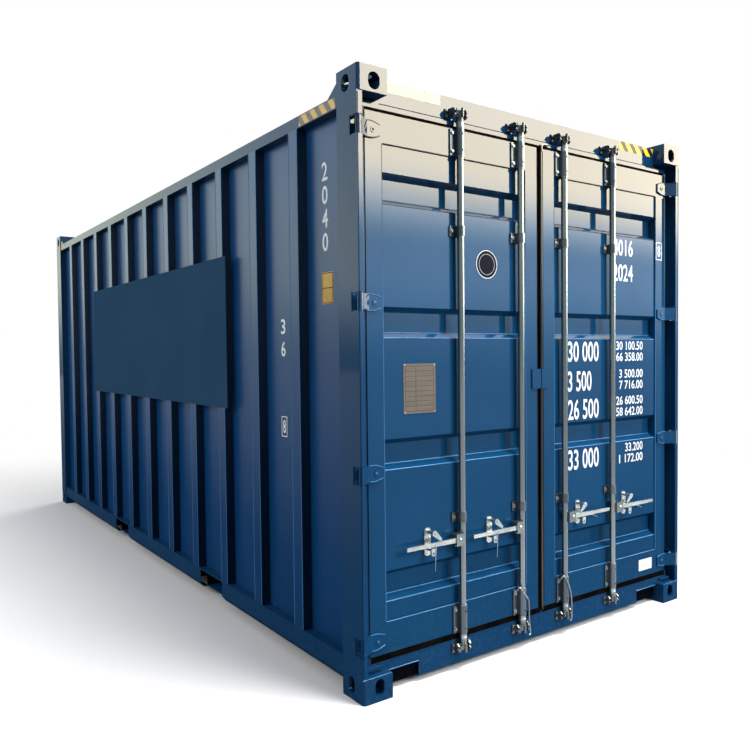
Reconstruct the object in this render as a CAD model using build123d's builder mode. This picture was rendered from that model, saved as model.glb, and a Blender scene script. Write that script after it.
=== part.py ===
"""Twenty foot high cube steel shipping container with hinged cargo doors and lock rods.

Millimetres, +Z up, origin on the ground at the centre of the base. X runs along the
container with the doors at +X. Y runs across it. The left side, seen from a person who
faces the doors, is at -Y.
"""
import os
from math import atan2, cos, radians, sin, sqrt, tan

from build123d import *

os.makedirs("parts", exist_ok=True)

# Overall size and the clearance kept round moving pieces
LENGTH = 6058
WIDTH = 2438
HEIGHT = 2896
CLEARANCE = 5

# Cast corner fittings
CASTING_LENGTH = 178
CASTING_WIDTH = 162
CASTING_HEIGHT = 118
CASTING_SIDE_WALL = 16
CASTING_SLOT_WALL = 28
CASTING_BACK_WALL = 8
CASTING_ROUND = 14
SLOT_LENGTH = 124
SLOT_WIDTH = 63.5
SLOT_TO_END = 102.5
SLOT_TO_SIDE = 89.5
HOLE_HEIGHT = 79.5
TOP_HOLE_WIDTH = 63.5
BOTTOM_HOLE_WIDTH = 51
HOLE_TO_FACE = 66

# Corner posts
INSET = 6
POST_WALL = 6
POST_BOX_WIDTH = 57
DOOR_POST_BOX_DEPTH = 84
POST_LIP = 29
FRONT_POST_WIDTH = 110

# Rails
BOTTOM_RAIL_TOP = 182
BOTTOM_RAIL_BASE = 54
BOTTOM_RAIL_FOLD = 32
BOTTOM_RAIL_RETURN = 24
BOTTOM_RAIL_FLANGE = 50
BOTTOM_RAIL_WALL = 5
TOP_RAIL_DROP = 96
TOP_RAIL_SIZE = 60
TOP_RAIL_WALL = 4
GUSSET_RUN = 90
GUSSET_RISE = 60
GUSSET_THICKNESS = 8

# Folded sheets
SHEET = 3
RIB_PITCH = 482
RIB_WIDTH = 97
RIB_DEPTH = 50
RIB_RUN = 6
FRONT_RIB_PITCH = 440
ROOF_RIB_PITCH = 241
ROOF_RIB_WIDTH = 90
ROOF_RIB_RUN = 30
ROOF_RIB_DEPTH = 20
ROOF_DROP = 90

# Base
FLOOR_TOP = 200
FLOOR_THICKNESS = 28
CROSS_MEMBER_WIDTH = 45
CROSS_MEMBER_WALL = 5
CROSS_MEMBER_PITCH = 396
POCKET_PLACES = (-765, 1220)
POCKET_WIDTH = 360
POCKET_HEIGHT = 115
POCKET_WALL = 6
POCKET_STRAP = 200

# End frames
HEADER_DROP = 19
HEADER_HEIGHT = 142
HEADER_SETBACK = 81
HEADER_WALL = 6
HEADER_NOTCH = 18
HEADER_LIP = 11
HEADER_LIP_HEIGHT = 22
SILL_TOP = 165
SILL_BASE = 30
SILL_SETBACK = 58
SILL_WALL = 6
SILL_CUT_WIDTH = 197
SILL_CUT_TOP = 103

# Marking panel
PANEL_LENGTH = 3073
PANEL_CENTRE = 3
PANEL_BASE = 1277
PANEL_HEIGHT = 926
PANEL_THICKNESS = 3

# Door leaves, placed by the gaps that they keep to the frame
LEAF_SETBACK = 57
LEAF_THICKNESS = 50
LEAF_SIDE_GAP = 18
LEAF_TOP_GAP = 20
LEAF_BASE_GAP = 20
LEAF_CENTRE_GAP = 25
HINGE_STILE = 94
CENTRE_STILE = 90
LEAF_TOP_RAIL = 139
LEAF_BOTTOM_RAIL = 152
PANEL_STEP = 8
BAND_FIRST = 165
BAND_PITCH = 624
BAND_HEIGHT = 146
BAND_RUN = 25
BAND_DEPTH = 41
GASKET_THICKNESS = 18
GASKET_SETBACK = 6
GASKET_CENTRE_GAP = 6

# Hinges
PIN_SETBACK = 21
PIN_INSET = 16
PIN_RADIUS = 6
KNUCKLE_RADIUS = 13
KNUCKLE_CLEARANCE = 0.5
HINGE_COUNT = 4
HINGE_ABOVE_BASE = 73
HINGE_BELOW_TOP = 85
BLADE_HEIGHT = 78
BLADE_TIP_HEIGHT = 52
BLADE_THICKNESS = 8
BLADE_LENGTH = 82
BLADE_TAPER = 45
BLADE_BOSS_RADIUS = 14
BLADE_BOSS_OUT = 40
BLADE_BOSS_HEIGHT = 3
LUG_THICKNESS = 12
LUG_CLEARANCE = 1
NOTCH_DEPTH = 62

# Lock rods
ROD_SETBACK = 34
ROD_RADIUS = 17
ROD_PLACES = (171, 593)
ROD_CLEARANCE = 0.6
CAM_ABOVE_HEADER = 55
CAM_BELOW_SILL = 50
CAM_THICKNESS = 22
CAM_REACH = 29
CAM_NOSE = 9
CAM_FINGER = 7
CAM_FINGER_OUT = 21
CAM_FINGER_RISE = 11
CAM_RING_RADIUS = 19
CAM_RING_HEIGHT = 7
CAM_RING_STEP = 13
COLLAR_RADIUS = 22
COLLAR_HEIGHT = 8
COLLAR_GAP = 2

# Brackets that carry the rods
SLEEVE_WALL = 4
BRACKET_THICKNESS = 8
BRACKET_WIDTH = 50
BRACKET_INSET = 3
TOP_BRACKET_HEIGHT = 130
BOTTOM_BRACKET_HEIGHT = 139
GUIDE_HEIGHT = 50
UPPER_GUIDE_DROP = 505
LOWER_GUIDE_RISE = 107

# Cam keepers
KEEPER_THICKNESS = 8
KEEPER_HEIGHT = 48
KEEPER_SETBACK = 21
KEEPER_TAPER = 11
KEEPER_NOTCH = 12
KEEPER_NOTCH_HALF = 7
KEEPER_FOOT = 18

# Handles
HANDLE_RISE = 486
HUB_WEB_NEAR = 8
HUB_WEB_FAR = 17
HUB_FAR = 62
HUB_DEPTH = 30
HUB_HEIGHT = 60
HUB_CHEEK = 5
RIVET_OUT = 38
RIVET_RADIUS = 7
RIVET_CLEARANCE = 0.5
HANDLE_THICKNESS = 8
HANDLE_GAP = 0.5
HANDLE_REACH = 365
HANDLE_ROOT_RADIUS = 18
HANDLE_ROOT_HEIGHT = 24
HANDLE_TIP_HEIGHT = 18

# Handle retainers and latches
LEFT_RETAINERS = (386, 798)
RIGHT_RETAINERS = (309, 731)
RETAINER_WIDTH = 38
RETAINER_ROUND = 16
RETAINER_THICKNESS = 6
RETAINER_DROP = 62
RETAINER_RISE = 76
SHELF_THICKNESS = 12
SHELF_WIDTH = 28
EYE_RADIUS = 13
EYE_HOLE = 6
LATCH_RISE = 58
LATCH_PIN = 5
LATCH_BOSS = 9
LATCH_CLEARANCE = 0.5
LATCH_GAP = 1
LATCH_LENGTH = 48
LATCH_ROOT = 14
LATCH_TIP = 8
LATCH_THICKNESS = 5
LATCH_ANGLE = 48

# Plates on the doors
DATA_PLATE_WIDTH = 196
DATA_PLATE_HEIGHT = 241
DATA_PLATE_ROUND = 6
DATA_PLATE_INSET = 309
DATA_PLATE_Z = 1433
DATA_PLATE_THICKNESS = 2
LOCK_PLATE_BASE = 1404
LOCK_PLATE_HEIGHT = 107
LOCK_PLATE_THICKNESS = 8
LOCK_PLATE_LEFT = 70
LOCK_PLATE_RIGHT = 50
LOCK_PLATE_GAP = 3

# Places worked out from the sizes above
END = LENGTH / 2
SIDE = WIDTH / 2
SKIN = SIDE - INSET
CASTING_INNER_X = END - CASTING_LENGTH
CASTING_INNER_Y = SIDE - CASTING_WIDTH
POST_BASE = CASTING_HEIGHT
POST_TOP = HEIGHT - CASTING_HEIGHT
POST_BOX_INNER = SIDE - POST_BOX_WIDTH
FRONT_POST_INNER = SIDE - FRONT_POST_WIDTH
TOP_RAIL_TOP = HEIGHT - TOP_RAIL_DROP
TOP_RAIL_BASE = TOP_RAIL_TOP - TOP_RAIL_SIZE
BOTTOM_RAIL_INNER = SKIN - BOTTOM_RAIL_FLANGE
POCKET_TOP = BOTTOM_RAIL_BASE + BOTTOM_RAIL_WALL + POCKET_HEIGHT
FLOOR_BASE = FLOOR_TOP - FLOOR_THICKNESS
HEADER_TOP = HEIGHT - HEADER_DROP
HEADER_BASE = HEADER_TOP - HEADER_HEIGHT
HEADER_FACE = END - HEADER_SETBACK
SILL_FACE = END - SILL_SETBACK
LEAF_FACE = END - LEAF_SETBACK
LEAF_BACK = LEAF_FACE - LEAF_THICKNESS
LEAF_OUTER = POST_BOX_INNER - LEAF_SIDE_GAP
LEAF_TOP = HEADER_BASE - LEAF_TOP_GAP
LEAF_BASE = SILL_TOP + LEAF_BASE_GAP
LEAF_MIDDLE = (LEAF_OUTER + LEAF_CENTRE_GAP) / 2
PANEL_FACE = LEAF_FACE - PANEL_STEP
PANEL_NEAR = LEAF_CENTRE_GAP + CENTRE_STILE
PANEL_FAR = LEAF_OUTER - HINGE_STILE
DOOR_PANEL_BASE = LEAF_BASE + LEAF_BOTTOM_RAIL
DOOR_PANEL_TOP = LEAF_TOP - LEAF_TOP_RAIL
PIN_X = END - PIN_SETBACK
PIN_Y = SIDE - PIN_INSET
HINGE_BASE = LEAF_BASE + HINGE_ABOVE_BASE
HINGE_STEP = (LEAF_TOP - HINGE_BELOW_TOP - HINGE_BASE) / (HINGE_COUNT - 1)
HINGE_PLACES = [HINGE_BASE + i * HINGE_STEP for i in range(HINGE_COUNT)]
ROD_X = END - ROD_SETBACK
CAM_PLACES = (SILL_TOP - CAM_BELOW_SILL, HEADER_BASE + CAM_ABOVE_HEADER)
KEEPER_FRONT = END - KEEPER_SETBACK
TOP_BRACKET_BASE = LEAF_TOP - BRACKET_INSET - TOP_BRACKET_HEIGHT
BOTTOM_BRACKET_BASE = LEAF_BASE + BRACKET_INSET
BOTTOM_BRACKET_TOP = BOTTOM_BRACKET_BASE + BOTTOM_BRACKET_HEIGHT
HANDLE_Z = LEAF_BASE + HANDLE_RISE
HANDLE_BACK = ROD_X + HUB_DEPTH / 2 + HANDLE_GAP
HANDLE_FACE = HANDLE_BACK + HANDLE_THICKNESS
SHELF_TOP = HANDLE_Z - HANDLE_ROOT_HEIGHT / 2 - CLEARANCE
LATCH_Z = HANDLE_Z + LATCH_RISE
LATCH_BACK = HANDLE_FACE + CLEARANCE
RETAINER_FACE = PANEL_FACE + RETAINER_THICKNESS
SIDES = {"left": -1, "right": 1}
RODS = {"inner": 0, "outer": 1}


def save(builder, node):
    """Name a finished piece and write its file."""
    builder.part.label = node
    export_step(builder.part, f"parts/{node}.step")


def row(count, pitch):
    """Centres of a row of equal steps, evenly spread about zero."""
    return [(i - (count - 1) / 2) * pitch for i in range(count)]


def wave(centres, rib, run, crest, floor, first, last, sheet):
    """Closed outline of a folded sheet: ribs of one width at the crest level, flats at floor.

    The inner line is the outer one moved in by the sheet and narrowed at each fold, so the
    thickness is the same on the flanks as on the flats.
    """
    depth = crest - floor
    slant = sqrt(depth ** 2 + run ** 2)
    narrow = sheet * (slant - run) / abs(depth)
    down = sheet if depth > 0 else -sheet

    def line(shift, drop):
        points = [(first, floor - drop)]
        for centre in centres:
            half = rib / 2 - shift
            points += [(centre - half - run, floor - drop), (centre - half, crest - drop)]
            points += [(centre + half, crest - drop), (centre + half + run, floor - drop)]
        return points + [(last, floor - drop)]

    return line(0, 0) + line(narrow, down)[::-1]


# Corner castings: hollow blocks with a slot in the top or bottom and a hole in each outer face
def corner_castings(node, top):
    up = 1 if top else -1
    level = HEIGHT if top else 0
    hole_width = TOP_HOLE_WIDTH if top else BOTTOM_HOLE_WIDTH
    hole_x = END - SLOT_TO_END
    hole_y = SIDE - SLOT_TO_SIDE
    hole_z = level - up * HOLE_TO_FACE
    block_x = END - CASTING_LENGTH / 2
    block_y = SIDE - CASTING_WIDTH / 2
    cavity_height = CASTING_HEIGHT - CASTING_SLOT_WALL - CASTING_BACK_WALL
    cavity_z = level - up * (CASTING_SLOT_WALL + cavity_height / 2)
    slot_plane = Plane((hole_x, hole_y, level), x_dir=(1, 0, 0), z_dir=(0, 0, -up))
    end_plane = Plane((END, hole_y, hole_z), x_dir=(0, 0, 1), z_dir=(-1, 0, 0))
    side_plane = Plane((hole_x, SIDE, hole_z), x_dir=(0, 0, 1), z_dir=(0, -1, 0))
    with BuildPart() as castings:
        with Locations((block_x, block_y, level - up * CASTING_HEIGHT / 2)):
            Box(CASTING_LENGTH, CASTING_WIDTH, CASTING_HEIGHT)
        outer_corner = castings.edges().filter_by(Axis.Z).group_by(Axis.X)[-1].sort_by(Axis.Y)[-1]
        fillet(outer_corner, CASTING_ROUND)
        with Locations((block_x, block_y, cavity_z)):
            Box(
                CASTING_LENGTH - 2 * CASTING_SIDE_WALL,
                CASTING_WIDTH - 2 * CASTING_SIDE_WALL,
                cavity_height,
                mode=Mode.SUBTRACT,
            )
        with BuildSketch(slot_plane):
            SlotOverall(SLOT_LENGTH, SLOT_WIDTH)
        extrude(amount=CASTING_SLOT_WALL, mode=Mode.SUBTRACT)
        with BuildSketch(end_plane, side_plane):
            SlotOverall(HOLE_HEIGHT, hole_width)
        extrude(amount=CASTING_SIDE_WALL, mode=Mode.SUBTRACT)
        mirror(about=Plane.XZ)
        mirror(about=Plane.YZ)
    save(castings, node)


# Door posts: a box section with a side plate and front lip, notched at each hinge, which
# carry the lugs and pins that the door blades turn on
def door_post(node, s):
    box_front = CASTING_INNER_X + DOOR_POST_BOX_DEPTH
    plate_length = CASTING_LENGTH - INSET
    half = BLADE_HEIGHT / 2
    with BuildPart() as post:
        with BuildSketch(Plane.XY.offset(POST_BASE)):
            with Locations((box_front - DOOR_POST_BOX_DEPTH / 2, s * (SIDE - POST_BOX_WIDTH / 2))):
                Rectangle(DOOR_POST_BOX_DEPTH, POST_BOX_WIDTH)
                Rectangle(
                    DOOR_POST_BOX_DEPTH - 2 * POST_WALL,
                    POST_BOX_WIDTH - 2 * POST_WALL,
                    mode=Mode.SUBTRACT,
                )
            with Locations((CASTING_INNER_X + plate_length / 2, s * (SIDE - POST_WALL / 2))):
                Rectangle(plate_length, POST_WALL)
            with Locations((END - INSET - POST_WALL / 2, s * (SIDE - POST_LIP / 2))):
                Rectangle(POST_WALL, POST_LIP)
        extrude(amount=POST_TOP - POST_BASE)
        for z in HINGE_PLACES:
            with Locations((END - INSET - NOTCH_DEPTH / 2, s * SIDE, z)):
                Box(NOTCH_DEPTH, 2 * POST_LIP, BLADE_HEIGHT + 2 * CLEARANCE, mode=Mode.SUBTRACT)
            for lug_base in (z + half + LUG_CLEARANCE, z - half - LUG_CLEARANCE - LUG_THICKNESS):
                with BuildSketch(Plane.XY.offset(lug_base)):
                    with Locations(((box_front + PIN_X) / 2, s * PIN_Y)):
                        Rectangle(PIN_X - box_front, 2 * (SIDE - PIN_Y - POST_WALL / 2))
                    with Locations((PIN_X, s * PIN_Y)):
                        Circle(KNUCKLE_RADIUS)
                extrude(amount=LUG_THICKNESS)
            with Locations((PIN_X, s * PIN_Y, z)):
                Cylinder(PIN_RADIUS, BLADE_HEIGHT + 2 * LUG_CLEARANCE + 2 * LUG_THICKNESS)
    save(post, node)


# Front posts: closed box sections between the castings of the blind end
def front_posts(node):
    width = CASTING_LENGTH - INSET
    with BuildPart() as posts:
        with BuildSketch(Plane.XY.offset(POST_BASE)):
            with Locations((-END + INSET + width / 2, SIDE - FRONT_POST_WIDTH / 2)):
                Rectangle(width, FRONT_POST_WIDTH)
                Rectangle(width - 2 * POST_WALL, FRONT_POST_WIDTH - 2 * POST_WALL, mode=Mode.SUBTRACT)
        extrude(amount=POST_TOP - POST_BASE)
        mirror(about=Plane.XZ)
    save(posts, node)


# Headers: box beams between the top castings, which run on to the posts below the castings.
# The one over the doors has a rain lip along its lower edge.
def header(node, face, back, reach, lip):
    depth = abs(face - back)
    middle = (HEADER_TOP + HEADER_BASE) / 2
    shoulder = POST_TOP - HEADER_NOTCH
    with BuildPart() as beam:
        with BuildSketch(Plane.XZ):
            with Locations(((face + back) / 2, middle)):
                Rectangle(depth, HEADER_HEIGHT)
                Rectangle(depth - 2 * HEADER_WALL, HEADER_HEIGHT - 2 * HEADER_WALL, mode=Mode.SUBTRACT)
            if lip:
                with Locations((face + HEADER_LIP / 2, HEADER_BASE + HEADER_LIP_HEIGHT / 2)):
                    Rectangle(HEADER_LIP, HEADER_LIP_HEIGHT)
        extrude(amount=reach, both=True)
        with BuildSketch(Plane.YZ.offset(min(face, back))):
            for s in (-1, 1):
                with BuildLine():
                    Polyline(
                        (s * CASTING_INNER_Y, HEIGHT),
                        (s * CASTING_INNER_Y, POST_TOP),
                        (s * (CASTING_INNER_Y + HEADER_NOTCH), POST_TOP - HEADER_NOTCH / 2),
                        (s * SIDE, shoulder),
                        (s * SIDE, HEIGHT),
                        close=True,
                    )
                make_face()
        extrude(amount=depth, mode=Mode.SUBTRACT)
    save(beam, node)


# Sills: box beams between the bottom castings, with a hand space cut out beside each casting
def sill(node, face, back, reach, top, cut):
    depth = abs(face - back)
    height = top - SILL_BASE
    beyond = SIDE - CASTING_INNER_Y
    with BuildPart() as beam:
        with BuildSketch(Plane.XZ):
            with Locations(((face + back) / 2, (top + SILL_BASE) / 2)):
                Rectangle(depth, height)
                Rectangle(depth - 2 * SILL_WALL, height - 2 * SILL_WALL, mode=Mode.SUBTRACT)
        extrude(amount=reach, both=True)
        with BuildSketch(Plane.YZ.offset(min(face, back))):
            for s in (-1, 1):
                with Locations((s * (CASTING_INNER_Y + beyond / 2), CASTING_HEIGHT / 2)):
                    Rectangle(beyond, CASTING_HEIGHT)
                if cut:
                    with Locations((s * (CASTING_INNER_Y - SILL_CUT_WIDTH / 2), SILL_CUT_TOP / 2)):
                        Rectangle(SILL_CUT_WIDTH, SILL_CUT_TOP)
        extrude(amount=depth, mode=Mode.SUBTRACT)
    save(beam, node)


# Top side rails: square tubes from casting to casting, with a sloping gusset at each end
def top_rail(node, s):
    inner = TOP_RAIL_SIZE - 2 * TOP_RAIL_WALL
    with BuildPart() as rail:
        with BuildSketch(Plane.YZ):
            with Locations((s * (SKIN - TOP_RAIL_SIZE / 2), TOP_RAIL_TOP - TOP_RAIL_SIZE / 2)):
                Rectangle(TOP_RAIL_SIZE, TOP_RAIL_SIZE)
                Rectangle(inner, inner, mode=Mode.SUBTRACT)
        extrude(amount=CASTING_INNER_X, both=True)
        with BuildSketch(Plane.XZ.offset(-s * SKIN)):
            for e in (-1, 1):
                with BuildLine():
                    Polyline(
                        (e * CASTING_INNER_X, TOP_RAIL_TOP),
                        (e * (CASTING_INNER_X - GUSSET_RUN), TOP_RAIL_TOP),
                        (e * CASTING_INNER_X, TOP_RAIL_TOP + GUSSET_RISE),
                        close=True,
                    )
                make_face()
        extrude(amount=s * GUSSET_THICKNESS)
    save(rail, node)


# Bottom side rails: lengths of folded channel with a ledge on top, parted at the fork pockets
def bottom_rail(node, s):
    wall = BOTTOM_RAIL_WALL
    fold_y = SKIN - BOTTOM_RAIL_RETURN
    fold_z = BOTTOM_RAIL_BASE + BOTTOM_RAIL_FOLD
    upper_turn = wall * tan(atan2(BOTTOM_RAIL_RETURN, BOTTOM_RAIL_FOLD) / 2)
    lower_turn = wall * tan(atan2(BOTTOM_RAIL_FOLD, BOTTOM_RAIL_RETURN) / 2)
    ends = [-CASTING_INNER_X, CASTING_INNER_X]
    for x in POCKET_PLACES:
        ends += [x - POCKET_WIDTH / 2, x + POCKET_WIDTH / 2]
    ends.sort()
    with BuildPart() as rail:
        for start, end in zip(ends[::2], ends[1::2]):
            with BuildSketch(Plane.YZ.offset(start)):
                with BuildLine():
                    Polyline(
                        (s * BOTTOM_RAIL_INNER, BOTTOM_RAIL_TOP),
                        (s * SKIN, BOTTOM_RAIL_TOP),
                        (s * SKIN, fold_z),
                        (s * fold_y, BOTTOM_RAIL_BASE),
                        (s * BOTTOM_RAIL_INNER, BOTTOM_RAIL_BASE),
                        (s * BOTTOM_RAIL_INNER, BOTTOM_RAIL_BASE + wall),
                        (s * (fold_y - lower_turn), BOTTOM_RAIL_BASE + wall),
                        (s * (SKIN - wall), fold_z + upper_turn),
                        (s * (SKIN - wall), BOTTOM_RAIL_TOP - wall),
                        (s * BOTTOM_RAIL_INNER, BOTTOM_RAIL_TOP - wall),
                        close=True,
                    )
                make_face()
            extrude(amount=end - start)
    save(rail, node)


# Pocket plates: the top of each fork pocket, the strap below each mouth, and the bar that
# carries the ledge of the bottom rail over it
def pocket_plates(node):
    bridge = BOTTOM_RAIL_TOP - POCKET_TOP
    with BuildPart() as plates:
        for x in POCKET_PLACES:
            with Locations((x, 0, FLOOR_BASE - POCKET_WALL / 2)):
                Box(POCKET_WIDTH, 2 * BOTTOM_RAIL_INNER, POCKET_WALL)
            for s in (-1, 1):
                strap_y = s * (BOTTOM_RAIL_INNER - POCKET_STRAP / 2)
                with Locations((x, strap_y, BOTTOM_RAIL_BASE + BOTTOM_RAIL_WALL / 2)):
                    Box(POCKET_WIDTH, POCKET_STRAP, BOTTOM_RAIL_WALL)
                with Locations((x, s * (SKIN - BOTTOM_RAIL_FLANGE / 2), POCKET_TOP + bridge / 2)):
                    Box(POCKET_WIDTH, BOTTOM_RAIL_FLANGE, bridge)
    save(plates, node)


# Side walls: one folded sheet on each side, welded between the rails and the posts
def side_wall(node, s):
    reach = CASTING_INNER_X
    ribs = row(int(2 * reach // RIB_PITCH), RIB_PITCH)
    outline = wave(ribs, RIB_WIDTH, RIB_RUN, SKIN, SKIN - RIB_DEPTH, -reach, reach, SHEET)
    with BuildPart() as wall:
        with BuildSketch(Plane.XY.offset(BOTTOM_RAIL_TOP)):
            with BuildLine():
                Polyline(*[(x, s * y) for x, y in outline], close=True)
            make_face()
        extrude(amount=TOP_RAIL_BASE - BOTTOM_RAIL_TOP)
    save(wall, node)


# Front wall: the same folded sheet across the blind end
def front_wall(node):
    reach = FRONT_POST_INNER
    ribs = row(int(2 * reach // FRONT_RIB_PITCH), FRONT_RIB_PITCH)
    crest = END - 2 * INSET
    outline = wave(ribs, RIB_WIDTH, RIB_RUN, crest, crest - RIB_DEPTH, -reach, reach, SHEET)
    with BuildPart() as wall:
        with BuildSketch(Plane.XY.offset(FLOOR_BASE)):
            with BuildLine():
                Polyline(*[(-x, y) for y, x in outline], close=True)
            make_face()
        extrude(amount=HEADER_BASE - FLOOR_BASE)
    save(wall, node)


# Roof: one sheet with shallow ribs across it, between the top rails
def roof(node):
    reach = CASTING_INNER_X
    top = HEIGHT - ROOF_DROP
    ribs = row(int(2 * reach // ROOF_RIB_PITCH), ROOF_RIB_PITCH)
    outline = wave(ribs, ROOF_RIB_WIDTH, ROOF_RIB_RUN, top, top - ROOF_RIB_DEPTH, -reach, reach, SHEET)
    with BuildPart() as sheet:
        with BuildSketch(Plane.XZ):
            with BuildLine():
                Polyline(*outline, close=True)
            make_face()
        extrude(amount=SKIN - TOP_RAIL_SIZE, both=True)
    save(sheet, node)


# Floor: plywood boards on the cross members, with a tongue between the front posts
def floor_boards(node):
    tongue = CASTING_LENGTH - 2 * INSET - RIB_DEPTH - SHEET
    with BuildPart() as boards:
        with BuildSketch(Plane.XY.offset(FLOOR_BASE)):
            Rectangle(2 * CASTING_INNER_X, 2 * (SKIN - RIB_DEPTH - SHEET))
            with Locations((-CASTING_INNER_X - tongue / 2, 0)):
                Rectangle(tongue, 2 * FRONT_POST_INNER)
        extrude(amount=FLOOR_THICKNESS)
    save(boards, node)


# Cross members: channels from rail to rail under the floor, left out where a pocket runs
def cross_members(node):
    height = FLOOR_BASE - BOTTOM_RAIL_BASE
    middle = BOTTOM_RAIL_BASE + height / 2
    apart = POCKET_WIDTH / 2 + POCKET_WALL + CROSS_MEMBER_WIDTH
    count = int((2 * CASTING_INNER_X - CROSS_MEMBER_WIDTH) // CROSS_MEMBER_PITCH) + 1
    with BuildPart() as members:
        with BuildSketch(Plane.XZ):
            for x in row(count, CROSS_MEMBER_PITCH):
                if min(abs(x - pocket) for pocket in POCKET_PLACES) > apart:
                    with Locations((x, middle)):
                        Rectangle(CROSS_MEMBER_WIDTH, height)
                    with Locations((x + CROSS_MEMBER_WALL, middle)):
                        Rectangle(CROSS_MEMBER_WIDTH, height - 2 * CROSS_MEMBER_WALL, mode=Mode.SUBTRACT)
        extrude(amount=BOTTOM_RAIL_INNER, both=True)
    save(members, node)


# Fork pockets: the side plates of the two tunnels under the floor
def fork_pockets(node):
    height = FLOOR_BASE - BOTTOM_RAIL_BASE
    with BuildPart() as pockets:
        for x in POCKET_PLACES:
            for side in (-1, 1):
                plate_x = x + side * (POCKET_WIDTH + POCKET_WALL) / 2
                with Locations((plate_x, 0, BOTTOM_RAIL_BASE + height / 2)):
                    Box(POCKET_WALL, 2 * BOTTOM_RAIL_INNER, height)
    save(pockets, node)


# Marking panel: a flat blank sheet on the ribs of the left side wall
def marking_panel(node):
    with BuildPart() as panel:
        with Locations((PANEL_CENTRE, -SKIN - PANEL_THICKNESS / 2, PANEL_BASE + PANEL_HEIGHT / 2)):
            Box(PANEL_LENGTH, PANEL_THICKNESS, PANEL_HEIGHT)
    save(panel, node)


# Cam keepers: pairs of notched cheeks with welded feet, on the header and sill, that take the cams
def cam_keepers(node):
    with BuildPart() as keepers:
        for face, cam_z in zip((SILL_FACE, HEADER_FACE), CAM_PLACES):
            low, high = cam_z - KEEPER_HEIGHT / 2, cam_z + KEEPER_HEIGHT / 2
            for place in ROD_PLACES:
                for s in (-1, 1):
                    for side in (-1, 1):
                        cheek = s * place + side * (CAM_REACH + CLEARANCE)
                        with BuildSketch(Plane.XZ.offset(-cheek)):
                            with BuildLine():
                                Polyline(
                                    (face, low),
                                    (KEEPER_FRONT - KEEPER_TAPER, low),
                                    (KEEPER_FRONT, low + KEEPER_TAPER),
                                    (KEEPER_FRONT, cam_z - KEEPER_NOTCH_HALF),
                                    (KEEPER_FRONT - KEEPER_NOTCH, cam_z),
                                    (KEEPER_FRONT, cam_z + KEEPER_NOTCH_HALF),
                                    (KEEPER_FRONT, high - KEEPER_TAPER),
                                    (KEEPER_FRONT - KEEPER_TAPER, high),
                                    (face, high),
                                    close=True,
                                )
                            make_face()
                        extrude(amount=-side * KEEPER_THICKNESS)
                        foot = cheek + side * (KEEPER_THICKNESS + KEEPER_FOOT) / 2
                        with Locations((face + KEEPER_THICKNESS / 2, foot, cam_z)):
                            Box(KEEPER_THICKNESS, KEEPER_THICKNESS + KEEPER_FOOT, KEEPER_HEIGHT)
    save(keepers, node)


# Door leaves: a frame of stiles and rails, with a folded panel set back in it
def door_frame(node, s):
    with BuildPart() as frame:
        with BuildSketch(Plane.YZ.offset(LEAF_BACK)):
            with Locations((s * LEAF_MIDDLE, (LEAF_TOP + LEAF_BASE) / 2)):
                Rectangle(LEAF_OUTER - LEAF_CENTRE_GAP, LEAF_TOP - LEAF_BASE)
            with Locations((s * (PANEL_NEAR + PANEL_FAR) / 2, (DOOR_PANEL_BASE + DOOR_PANEL_TOP) / 2)):
                Rectangle(PANEL_FAR - PANEL_NEAR, DOOR_PANEL_TOP - DOOR_PANEL_BASE, mode=Mode.SUBTRACT)
        extrude(amount=LEAF_THICKNESS)
    save(frame, node)


def door_panel(node, s):
    low, high = DOOR_PANEL_BASE, DOOR_PANEL_TOP
    first = low + BAND_FIRST
    count = int((high - first - BAND_HEIGHT / 2) // BAND_PITCH) + 1
    bands = [first + i * BAND_PITCH for i in range(count)]
    flat = BAND_HEIGHT - 2 * BAND_RUN
    outline = wave(bands, flat, BAND_RUN, PANEL_FACE - BAND_DEPTH, PANEL_FACE, low, high, -SHEET)
    with BuildPart() as panel:
        with BuildSketch(Plane.XZ.offset(-s * PANEL_NEAR)):
            with BuildLine():
                Polyline(*[(x, z) for z, x in outline], close=True)
            make_face()
        extrude(amount=-s * (PANEL_FAR - PANEL_NEAR))
    save(panel, node)


# Door gaskets: soft seals round each leaf that stop short of the frame and of each other
def door_gasket(node, s):
    inner, outer = GASKET_CENTRE_GAP, POST_BOX_INNER - CLEARANCE
    low, high = SILL_TOP + CLEARANCE, HEADER_BASE - CLEARANCE
    with BuildPart() as gasket:
        with BuildSketch(Plane.YZ.offset(LEAF_FACE - GASKET_SETBACK - GASKET_THICKNESS)):
            with Locations((s * (inner + outer) / 2, (low + high) / 2)):
                Rectangle(outer - inner, high - low)
            with Locations((s * LEAF_MIDDLE, (LEAF_TOP + LEAF_BASE) / 2)):
                Rectangle(LEAF_OUTER - LEAF_CENTRE_GAP, LEAF_TOP - LEAF_BASE, mode=Mode.SUBTRACT)
        extrude(amount=GASKET_THICKNESS)
    save(gasket, node)


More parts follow.
